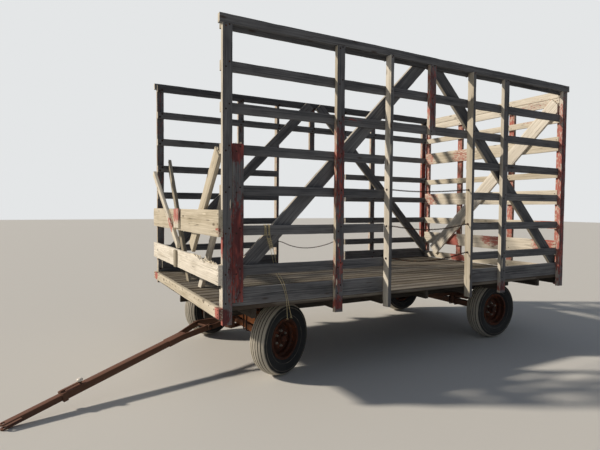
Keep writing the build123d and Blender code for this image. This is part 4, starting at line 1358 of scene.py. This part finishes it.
def splinter(root, out, wide, sizes):
    """A sliver of torn wood: it starts wide, bends a little and ends in a point. Its sizes are its width,
    thickness and length in mm."""
    out, wide = out.normalized(), wide.normalized()
    deep = out.cross(wide).normalized()
    width, thickness, length = (s * MM for s in sizes)
    last = len(splinter_shape) - 1
    points, faces = [], []
    for i, (w, d) in enumerate(splinter_shape):
        share = i / last
        middle = root + out * length * share + deep * (length * splinter_bend * share ** 2)
        points += [middle + wide * (width * w * a) + deep * (thickness * d * b)
                   for a, b in ((1, 1), (-1, 1), (-1, -1), (1, -1))]
    for i in range(0, 4 * last, 4):
        for k in range(4):
            faces.append([i + k, i + (k + 1) % 4, i + 4 + (k + 1) % 4, i + 4 + k])
    return points, faces + [[3, 2, 1, 0], [4 * last + k for k in range(4)]]


def scar(middle, normal, along, length, width):
    """A lens of torn wood on a board's face, as where a splinter was pulled off."""
    normal, along = Vector(normal).normalized(), Vector(along).normalized()
    across = normal.cross(along)
    rim, inner = [], []
    for i in range(scar_steps):
        turn = 2 * math.pi * i / scar_steps
        rough = 1 + scar_rough * noise.noise(Vector((i * 1.7, length * 40, width * 90)))
        blunt = abs(math.sin(turn)) ** scar_blunt
        flat = (along * (math.cos(turn) * length) + across * (math.sin(turn) * blunt * width)) / 2 * rough
        rim.append(middle + flat - normal * MM)
        inner.append(middle + flat * 0.8 + normal * scar_proud * MM)
    points = rim + inner + [middle + normal * scar_proud * 0.6 * MM]
    faces = []
    for i in range(scar_steps):
        after = (i + 1) % scar_steps
        faces.append([i, after, scar_steps + after, scar_steps + i])
        faces.append([scar_steps + i, scar_steps + after, 2 * scar_steps])
    return points, faces


def top_at(solid, y):
    """The highest point of a solid's edges where they pass a place across the wagon."""
    heights = [-math.inf]
    for edge in solid.edges:
        a, b = (v.co for v in edge.verts)
        if min(a.y, b.y) <= y <= max(a.y, b.y) and a.y != b.y:
            heights.append(a.lerp(b, (y - a.y) / (b.y - a.y)).z)
    return max(heights)


# Scars on the boards' faces, in mm: middle, the way the face points, the way the grain runs, length, width
scars = (
    ((1232, 1340, 151), (0.35, 1, 0), (0, 0, 1), 66, 15),
    ((1214, 1340, 514), (0, 1, 0), (0, 0, 1), 42, 16),
    ((-1180, 1340, 208), (0, 1, 0), (0, 0, 1), 150, 14),
    ((2330, 1340, 905), (0, 1, 0), (0, 0, 1), 90, 10),
    ((610, 1380, 1480), (0, 1, 0), (0, 0, 1), 120, 12),
    ((2438, 542, 395), (1, 0, 0), (0, 1, 0), 190, 26),
    ((2438, 930, 812), (1, 0, 0), (0, 1, 0), 120, 12),
    ((2438, -840, 275), (1, 0, 0), (0, 1, 0), 150, 11),
    ((-2362, 420, 1040), (1, 0, 0), (0, 1, 0), 160, 14),
    ((-2362, -150, 1765), (1, 0, 0), (0, 1, 0), 130, 12),
)

# Boards with a splintered end: node, which of its boards, which end, slivers
splintered_ends = (
    ("front_braces", far_knee, 1, 5),
    ("front_braces", inner_brace, 1, 12),
    ("front_braces", outer_brace, 1, 5),
    ("left_posts", 0, 1, 6),
    ("rear_brace", 0, 1, 4),
)
# The broken board's splinters: how many, where they begin across the wagon, how far they stay from its end,
# and how deep their roots sit
break_splinters = 46
break_start = 470
break_end_gap = 50
splinter_root = 4
end_root = 8
# The slivers' width, thickness and length are drawn between these: on the broken board, and at the ends
break_sliver = ((7, 16), (4, 9), (24, 84))
end_sliver = ((5, 12), (3, 7), (14, 34))


class WAGON_OT_splinters(Operator):
    """Tear splinters along the broken board and the boards' ragged ends, and lay the scars"""
    bl_idname = "wagon.splinters"
    bl_label = "Splinters and Scars"

    def execute(self, context):
        rng = random.Random(23)
        torn = Shape()
        broken = solids_of("front_lower_board")[0]
        low, high = bounds_of(broken)
        start, sunk = break_start * MM, splinter_root * MM
        for k in range(break_splinters):
            y = start + (high.y - break_end_gap * MM - start) * (k + rng.random()) / break_splinters
            z = min(top_at(broken, y), lower_board_top * MM)
            root = Vector((rng.uniform(low.x + sunk, high.x - sunk), y, z - sunk))
            out = Vector((rng.uniform(-0.12, 0.12), rng.choice((-1, 1)), rng.uniform(0.05, 0.55)))
            torn.add(splinter(root, out, Z, [rng.uniform(*limits) for limits in break_sliver]))
        for name, index, end, count in splintered_ends:
            board = Board(solids_of(name)[index])
            along, across, through = board.axes
            half_long, half_wide, half_thick = board.half
            tip = board.centre + along * end * (half_long - end_root * MM)
            for _ in range(count):
                root = tip + across * rng.uniform(-0.8, 0.8) * half_wide
                root += through * rng.uniform(-0.6, 0.6) * half_thick
                out = along * end + across * rng.uniform(-0.12, 0.12) + through * rng.uniform(-0.1, 0.1)
                torn.add(splinter(root, out, across, [rng.uniform(*limits) for limits in end_sliver]))
        for middle, normal, along, length, width in scars:
            torn.add(scar(spot(*middle), normal, along, length * MM, width * MM))
        torn.piece("torn_wood", "wagon", "torn_pine", "sunned_wood")
        return {"FINISHED"}


# Steelwork

gear_nodes = ("front_axle_beam", "rear_axle_beam", "front_bolster", "rear_bolster", "reach", "rear_hounds",
              "left_knuckle", "right_knuckle", "left_tie_rod", "right_tie_rod")
tongue_nodes = ("steering_yoke", "tongue_bar", "tongue_extension")

# Where water stands on the steel: node, lowest and highest corner in mm, how much orange rust it leaves
damp_places = (
    ("front_bolster", (1740, 300, -420), (1770, 560, -260), 1.0),
    ("front_axle_beam", (1740, 560, -520), (1760, 680, -400), 0.9),
    ("left_knuckle", (1725, 600, -520), (1800, 800, -400), 0.6),
)


def damp_at(name, point):
    """How much orange rust there is at a point of a steel node."""
    for damped, low, high, share in damp_places:
        if damped == name and all(low[i] * MM <= point[i] <= high[i] * MM for i in range(3)):
            return share
    return 0.0


# Flat faces wider than this are framed by an edge of this width, which is rubbed
flat_least = 16 * MM
rubbed_width = 5 * MM


class WAGON_OT_steelwork(Operator):
    """Round the edges of the bars and plates of the running gear and the tongue"""
    bl_idname = "wagon.steelwork"
    bl_label = "Steelwork"

    def execute(self, context):
        radius = context.scene.wagon_steel.round_edge
        for name in gear_nodes + tongue_nodes:
            kind = "tongue" if name in tongue_nodes else "gear"
            bars = Shape()
            for solid in solids_of(name):
                bevels = rounded(solid, sharp_edges(solid), radius)
                flats = [f for f in solid.faces
                         if len(f.verts) == 4 and min(e.calc_length() for e in f.edges) > flat_least]
                bmesh.ops.inset_individual(solid, faces=flats, thickness=rubbed_width, use_even_offset=True)
                rubbed = {v for f in bevels if f.is_valid for v in f.verts}
                whole = {v for f in solid.faces if len(f.verts) > 4 for v in f.verts}
                edge = [1.0 if v in rubbed and v not in whole else 0.0 for v in solid.verts]
                damp = [damp_at(name, v.co) for v in solid.verts]
                bars.add(taken(solid), edge=edge, damp=damp)
            bars.piece(name + "_steel", node_body[name], "rusted_" + kind, kind + "_steel", [name],
                       smooth=35)
        return {"FINISHED"}


# Places on the running gear in mm: heights of a kingpin's foot, the yoke's lower plate, the axles' underside
# and the bolsters' top, and half the width of the tongue's fork
kingpin_foot = -513
yoke_plate_top = -501
axle_underside = -495
bolster_top = -277
fork_half = 130
# The latch's knob: how far along the tongue and above its middle line it stands, and its turned outline
knob_along, knob_above = 1383, 56
knob_outline = ((-1, 15), (1, 15), (2, 24), (9, 27), (17, 25), (23, 18), (26, 9), (26.6, 0))
# The clamps' rods: radius, bend, ends above the bolster, places across the wagon, and their plate
clamp_rod = 7
clamp_bend = 12
clamp_ends = 26
clamp_gap = 0.5
clamp_places = (255, 345)
clamp_plate, clamp_plate_wide = 8, 34
# The stakes' bolts: heights, and the outer and inner face that they go through
stake_bolts = (-238, -172)
stake_outside, stake_inside = 514.5, 457.5
# The reach's bands: places along it, thickness, length, height and width
band_places = (380, 560)
band_thick, band_long, band_high, band_wide = 10, 44, 92, 90
# How thick a nut's washer is, the radius of a cotter's eye, and of its wire and the eye's wire
nut_washer = 2.5
cotter_eye = 4
cotter_wire, eye_cotter_wire = 1.8, 1.6
# Heads of pins: radius, height. Nuts and bolts: width across flats, height, how far the rod stands out
kingpin_head, arm_pin_head, rod_pin_head, hinge_head = (22, 6), (17, 8), (17, 6), (22, 11)
kingpin_nut, hinge_nut, stake_nut, band_nut = (38, 12), (36, 12), (24, 10), (26, 10)
grease_fitting, clamp_nut, stake_bolt = (9, 5, 6), (22, 10, 2), (24, 9, 1)
# How far above the knuckle's top its grease fitting starts
grease_rise = 5


def joint_place(name):
    joint = joints[name]
    return Vector(joint.get("pos_m") or joint["pos"])


def joint_axis(name):
    return Vector(joints[name]["axis"]).normalized()


def raised(place, height):
    """The place at another height."""
    return Vector((place.x, place.y, height))


def pin_nut(place, axis, across_flats, height, cotter=True):
    """A nut on a pin's end, with its washer and its cotter, in mm."""
    axis = Vector(axis).normalized()
    made = Shape()
    rim = across_flats * 0.72
    made.add(washer(place, axis, rim, rim * 0.5, nut_washer, 20))
    made.add(hexagon(place + axis * nut_washer * MM, axis, across_flats, height, height * 0.5))
    if cotter:
        across = sides_of(axis)[0]
        hole = place + axis * (height * 0.95 + nut_washer) * MM
        reach = across * across_flats * 0.55 * MM
        eye = hole - reach - across * cotter_eye * MM
        made.add(tube([hole - reach, hole + reach], cotter_wire * MM, 6))
        made.add(tube(arc(eye, across, axis, cotter_eye * MM, 40, 320, 10), eye_cotter_wire * MM, 6))
    return made.points, made.faces


def latch_knob():
    """The enamelled knob that lifts the tongue's latch."""
    tip = next(Vector(m["pos_m"]) for m in frame["record"]["mounts"] if m["name"] == "hitch_pin")
    hinge = joint_place("tongue_lift")
    bar = (tip - hinge).normalized()
    rise = bar.cross(joint_axis("tongue_lift")).normalized()
    rise = rise if rise.z > 0 else -rise
    grip = Shape()
    grip.add(lathe(knob_outline, hinge + bar * knob_along * MM + rise * knob_above * MM, rise, 20))
    grip.piece("latch_knob", "tongue", "white_enamel", "tongue_steel", smooth=60)


def knuckle_fittings(side_name):
    """A kingpin's head, grease fitting and nut, and the head of the pin in the knuckle's arm."""
    kingpin = joint_place(side_name + "_knuckle_steer")
    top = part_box(side_name + "_knuckle")[1].z
    arm_eye = kingpin + joint_place("left_tie_rod_swing") - joint_place("yoke_steer")
    fittings = Shape()
    fittings.add(bolt_head(raised(kingpin, top), Z, *kingpin_head))
    fittings.add(hexagon(raised(kingpin, top + grease_rise * MM), Z, *grease_fitting))
    fittings.add(pin_nut(raised(kingpin, kingpin_foot * MM), -Z, *kingpin_nut))
    fittings.add(bolt_head(raised(arm_eye, yoke_plate_top * MM), Z, *arm_pin_head))
    knuckle = side_name + "_knuckle"
    fittings.piece(knuckle + "_fittings", knuckle, "rusted_gear", "gear_steel")


def hinge_fittings():
    """The heads and nuts of the yoke's rod pin and of the tongue's hinge pin."""
    hinge, across = joint_place("tongue_lift"), joint_axis("tongue_lift")
    fork_side = across * fork_half * MM
    yoke = Shape()
    rod_pin = raised(joint_place("left_tie_rod_swing"), yoke_plate_top * MM)
    yoke.add(bolt_head(rod_pin, Z, *rod_pin_head))
    yoke.add(bolt_head(hinge + fork_side, across, *hinge_head))
    yoke.add(pin_nut(hinge - fork_side, -across, *hinge_nut))
    yoke.piece("tongue_hinge_fittings", "steering_yoke", "rusted_chain", "tongue_steel")


def add_axle_clamp(clamps, x, y, reach):
    """A rod bent under the axle, with its plate and two nuts on the bolster."""
    low, bend, top = axle_underside * MM, clamp_bend * MM, bolster_top * MM
    here = Vector((x, y, 0))
    rod = []
    for end, start in ((-1, 180), (1, 270)):
        upright = [here + Vector((end * reach, 0, z)) for z in (top + clamp_ends * MM, low + bend)]
        turn = here + Vector((end * (reach - bend), 0, low - clamp_rod * MM + bend))
        corner = arc(turn, X, Z, bend, start, start + 90, 5)
        rod += upright + corner if end < 0 else corner + upright[::-1]
        nut_seat = here + Vector((end * reach, 0, top + clamp_plate * MM))
        clamps.add(hexagon(nut_seat, Z, *clamp_nut), edge=0.0)
    clamps.add(tube(rod, clamp_rod * MM, 8), edge=0.0)
    clamps.add(plate(here + Z * (top + clamp_plate * MM / 2),
                     (2 * reach / MM + clamp_plate_wide, clamp_plate_wide, clamp_plate)), edge=0.3)


def add_reach_band(clamps, x):
    """A band of four bars round the reach, with the bolt that goes through them."""
    low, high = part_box("reach")
    middle = (low + high) / 2
    here = Vector((x * MM, 0, middle.z))
    half = band_thick / 2 * MM
    for end in (-1, 1):
        beside = here + Y * end * (high.y + half)
        above = here + Z * end * (high.z - middle.z + half)
        clamps.add(plate(beside, (band_long, band_thick, band_high)), edge=0.3)
        clamps.add(plate(above, (band_long, band_wide, band_thick)), edge=0.3)
    face = Y * (high.y + 2 * half)
    clamps.add(hexagon(here + face, Y, *band_nut), edge=0.0)
    clamps.add(pin_nut(here - face, -Y, *band_nut), edge=0.0)


def gear_clamps():
    """The clamps that hold the axles to the bolsters, the stakes' bolts and the reach's bands."""
    clamps = Shape()
    for gear_name in ("front", "rear"):
        low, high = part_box(gear_name + "_bolster")
        x = (low.x + high.x) / 2
        reach = (high.x - low.x) / 2 + (clamp_rod + clamp_gap) * MM
        for side in (1, -1):
            for y in clamp_places:
                add_axle_clamp(clamps, x, side * y * MM, reach)
            for z in stake_bolts:
                outside = Vector((x, side * stake_outside * MM, z * MM))
                inside = Vector((x, side * stake_inside * MM, z * MM))
                clamps.add(hexagon(outside, Y * side, *stake_bolt), edge=0.0)
                clamps.add(pin_nut(inside, -Y * side, *stake_nut, cotter=False), edge=0.0)
    for x in band_places:
        add_reach_band(clamps, x)
    clamps.piece("gear_clamps", "wagon", "rusted_gear", "gear_steel")


class WAGON_OT_gear_fittings(Operator):
    """Fit the latch's knob and the running gear's clamps, nuts, cotters and grease fittings"""
    bl_idname = "wagon.gear_fittings"
    bl_label = "Gear Fittings"

    def execute(self, context):
        latch_knob()
        knuckle_fittings("left")
        knuckle_fittings("right")
        hinge_fittings()
        gear_clamps()
        return {"FINISHED"}


# Wheels

# Each wheel, with the side that its outer face is on
wheels = {"front_left": 1, "front_right": -1, "rear_left": 1, "rear_right": -1}
# The tread: its radius in the middle plane, half its width, and how much lower its shoulders are
tyre_radius = 372.0
tread_half = 89.0
shoulder_drop = 22.0
# A rib's edge: how wide its slope down into the groove is, and how low it starts
rib_slope = 1.5
rib_round = 1.0
# The side wall from bead to shoulder: distance from the middle plane, radius, dust
tyre_wall = ((64, 190.8, 0.1), (68, 205, 0.1), (72, 214, 0.15), (84, 226, 0.1), (92, 238, 0.05),
             (93.5, 240, 0.3), (93.5, 246, 0.3), (94.5, 248, 0.05), (100, 268, 0.05), (102.6, 286, 0.1),
             (103, 296, 0.1), (102, 312, 0.1), (102.6, 314, 0.35), (101.6, 322, 0.35), (99.4, 324, 0.1),
             (96, 334, 0.2), (93, 342, 0.4))
# Only what lies outside this radius is worn, by this much, in waves of the noise per metre
worn_from = 340
wear_depth = 1.2
wear_waves = 22


def wheel_place(name):
    """A wheel's centre, and its axis pointing outward."""
    joint = name + "_wheel_spin"
    return joint_place(joint), joint_axis(joint) * wheels[name]


def crown(offset):
    """The tread's radius at a distance from the middle plane, in millimetres."""
    bend = (tread_half ** 2 + shoulder_drop ** 2) / (2 * shoulder_drop)
    return tyre_radius - (bend - math.sqrt(bend ** 2 - offset ** 2))


def tyre_profile(settings):
    """The tyre's section from its inner bead over the tread to its outer bead: offset, radius, dust."""
    depth, width, ribs = settings.groove_depth / MM, settings.groove_width / MM, settings.rib_count
    rib = (2 * tread_half - (ribs - 1) * width) / ribs
    tread = []
    for i in range(ribs):
        start = -tread_half + i * (rib + width)
        end = start + rib
        if i:
            tread.append((start - rib_slope, crown(start) - depth, 0.1))
            tread.append((start, crown(start) - rib_round, 0.75))
        tread.append((start + rib_slope if i else start, crown(start), 1.0))
        tread.append(((start + end) / 2, crown((start + end) / 2), 0.95))
        tread.append((end - rib_slope if i < ribs - 1 else end, crown(end), 1.0))
        if i < ribs - 1:
            tread.append((end, crown(end) - rib_round, 0.75))
            tread.append((end + rib_slope, crown(end) - depth, 0.1))
    inner = [(-offset, radius, dust) for offset, radius, dust in tyre_wall]
    return inner + tread + list(reversed(tyre_wall))


class WAGON_OT_tyres(Operator):
    """Build the ribbed implement tyres"""
    bl_idname = "wagon.tyres"
    bl_label = "Tyres"

    def execute(self, context):
        settings = context.scene.wagon_tyre
        section = tyre_profile(settings)
        steps = settings.steps
        last = (len(section) - 1) * steps
        dust = [dust for _, _, dust in section for _ in range(steps)]
        for order, name in enumerate(wheels):
            centre, axis = wheel_place(name)
            points, faces = lathe([(offset, radius) for offset, radius, _ in section], centre, axis, steps)
            faces += [[last + i, last + (i + 1) % steps, (i + 1) % steps, i] for i in range(steps)]
            for i, point in enumerate(points):
                spoke = point - centre - axis * (point - centre).dot(axis)
                if spoke.length > worn_from * MM:
                    wear = noise.noise(point * wear_waves + hashed(order + 1))
                    points[i] = point - spoke.normalized() * max(0.0, wear) * wear_depth * MM
            tyre = Shape()
            tyre.add((points, faces), tread=dust)
            tyre.piece(name + "_tyre_rubber", name + "_wheel", "aged_rubber", "tyre_rubber",
                       [name + "_tyre"], smooth=28)
        return {"FINISHED"}


# The wheel nuts: how many, the radius of their circle, the disc's face, their seats' outline and how far
# above the disc they start
lug_count = 6
lug_circle = 76
disc_face = 8
lug_seat = ((-1, 15), (3, 13.5), (3, 8))
lug_rise = 2
lug_nut = (24, 16, 8)
# The hub's grease fitting, and its rings: distance from the middle plane, radius, and how far they stand out
hub_end = 66
hub_grease = (12, 5, 3)
hub_rings = ((33, 47), (58, 39))
hub_ring_high = 2.5
# The valve: radius and distance from the middle plane, its lean outward and inward, and its outline
valve_radius, valve_offset = 168, 12
valve_lean = (0.9, -0.35)
valve_outline = ((-24, 4), (10, 4), (12, 3), (24, 3), (25, 4.2), (33, 4.2), (34, 0))


class WAGON_OT_rims(Operator):
    """Finish the rims, and add their lug nuts, valves and hub fittings"""
    bl_idname = "wagon.rims"
    bl_label = "Rims"

    def execute(self, context):
        for name in wheels:
            frame["nodes"][name + "_rim"].data.materials[0] = finish("rusted_enamel")
            centre, axis = wheel_place(name)
            across, up = sides_of(axis)
            fittings, nuts = Shape(), Shape()
            for i in range(lug_count):
                turn = 2 * math.pi * (i + 0.5) / lug_count
                spoke = across * math.cos(turn) + up * math.sin(turn)
                seat = centre + spoke * lug_circle * MM + axis * disc_face * MM
                nuts.add(lathe(lug_seat, seat, axis, 16))
                nuts.add(hexagon(seat + axis * lug_rise * MM, axis, *lug_nut))
            fittings.add(hexagon(centre + axis * hub_end * MM, axis, *hub_grease))
            for along, radius in hub_rings:
                outer = radius + hub_ring_high
                outline = ((-2, radius), (0, outer), (3, outer), (5, radius))
                fittings.add(lathe(outline, centre + axis * along * MM, axis, 32))
            valve = centre + across * valve_radius * MM + axis * valve_offset * MM
            lean = axis * valve_lean[0] + across * valve_lean[1]
            fittings.add(lathe(valve_outline, valve, lean, 12))
            fittings.piece(name + "_hub_fittings", name + "_wheel", "rusted_chain", "rim_paint")
            nuts.piece(name + "_wheel_nuts", name + "_wheel", "zinc_plate", "rim_paint", smooth=25)
        return {"FINISHED"}


# Panel and registration

class WAGON_PT_looks(Panel):
    """The wagon's settings and the steps that make it"""
    bl_idname = "WAGON_PT_looks"
    bl_label = "Hay Wagon"
    bl_space_type = "VIEW_3D"
    bl_region_type = "UI"
    bl_category = "Hay Wagon"

    def draw(self, context):
        for step in steps:
            self.layout.operator(step.bl_idname)
        for group in settings_groups:
            box = self.layout.box()
            box.label(text=group.replace("wagon_", "").capitalize())
            holder = getattr(context.scene, group)
            for name in holder.__annotations__:
                box.prop(holder, name)


settings_groups = {"wagon_lumber": LumberSettings, "wagon_steel": SteelSettings, "wagon_tyre": TyreSettings,
                   "wagon_cord": CordSettings, "wagon_stage": StageSettings}
steps = (WAGON_OT_camera, WAGON_OT_chains, WAGON_OT_twine, WAGON_OT_twine_tangle, WAGON_OT_eye_bolts,
         WAGON_OT_lumber, WAGON_OT_nails, WAGON_OT_scab, WAGON_OT_splinters, WAGON_OT_steelwork,
         WAGON_OT_gear_fittings, WAGON_OT_tyres, WAGON_OT_rims, WAGON_OT_stage)


def register():
    for name, group in settings_groups.items():
        bpy.utils.register_class(group)
        setattr(bpy.types.Scene, name, PointerProperty(type=group))
    for step in (*steps, WAGON_PT_looks):
        bpy.utils.register_class(step)


def unregister():
    for step in (*steps, WAGON_PT_looks):
        bpy.utils.unregister_class(step)
    for name, group in settings_groups.items():
        delattr(bpy.types.Scene, name)
        bpy.utils.unregister_class(group)


def main():
    register()
    bpy.ops.wagon.camera()
    bpy.ops.wagon.chains()
    bpy.ops.wagon.twine()
    bpy.ops.wagon.twine_tangle()
    bpy.ops.wagon.eye_bolts()
    bpy.ops.wagon.lumber()
    bpy.ops.wagon.nails()
    bpy.ops.wagon.scab()
    bpy.ops.wagon.splinters()
    bpy.ops.wagon.steelwork()
    bpy.ops.wagon.gear_fittings()
    bpy.ops.wagon.tyres()
    bpy.ops.wagon.rims()
    bpy.ops.wagon.stage()


if __name__ == "__main__":
    main()
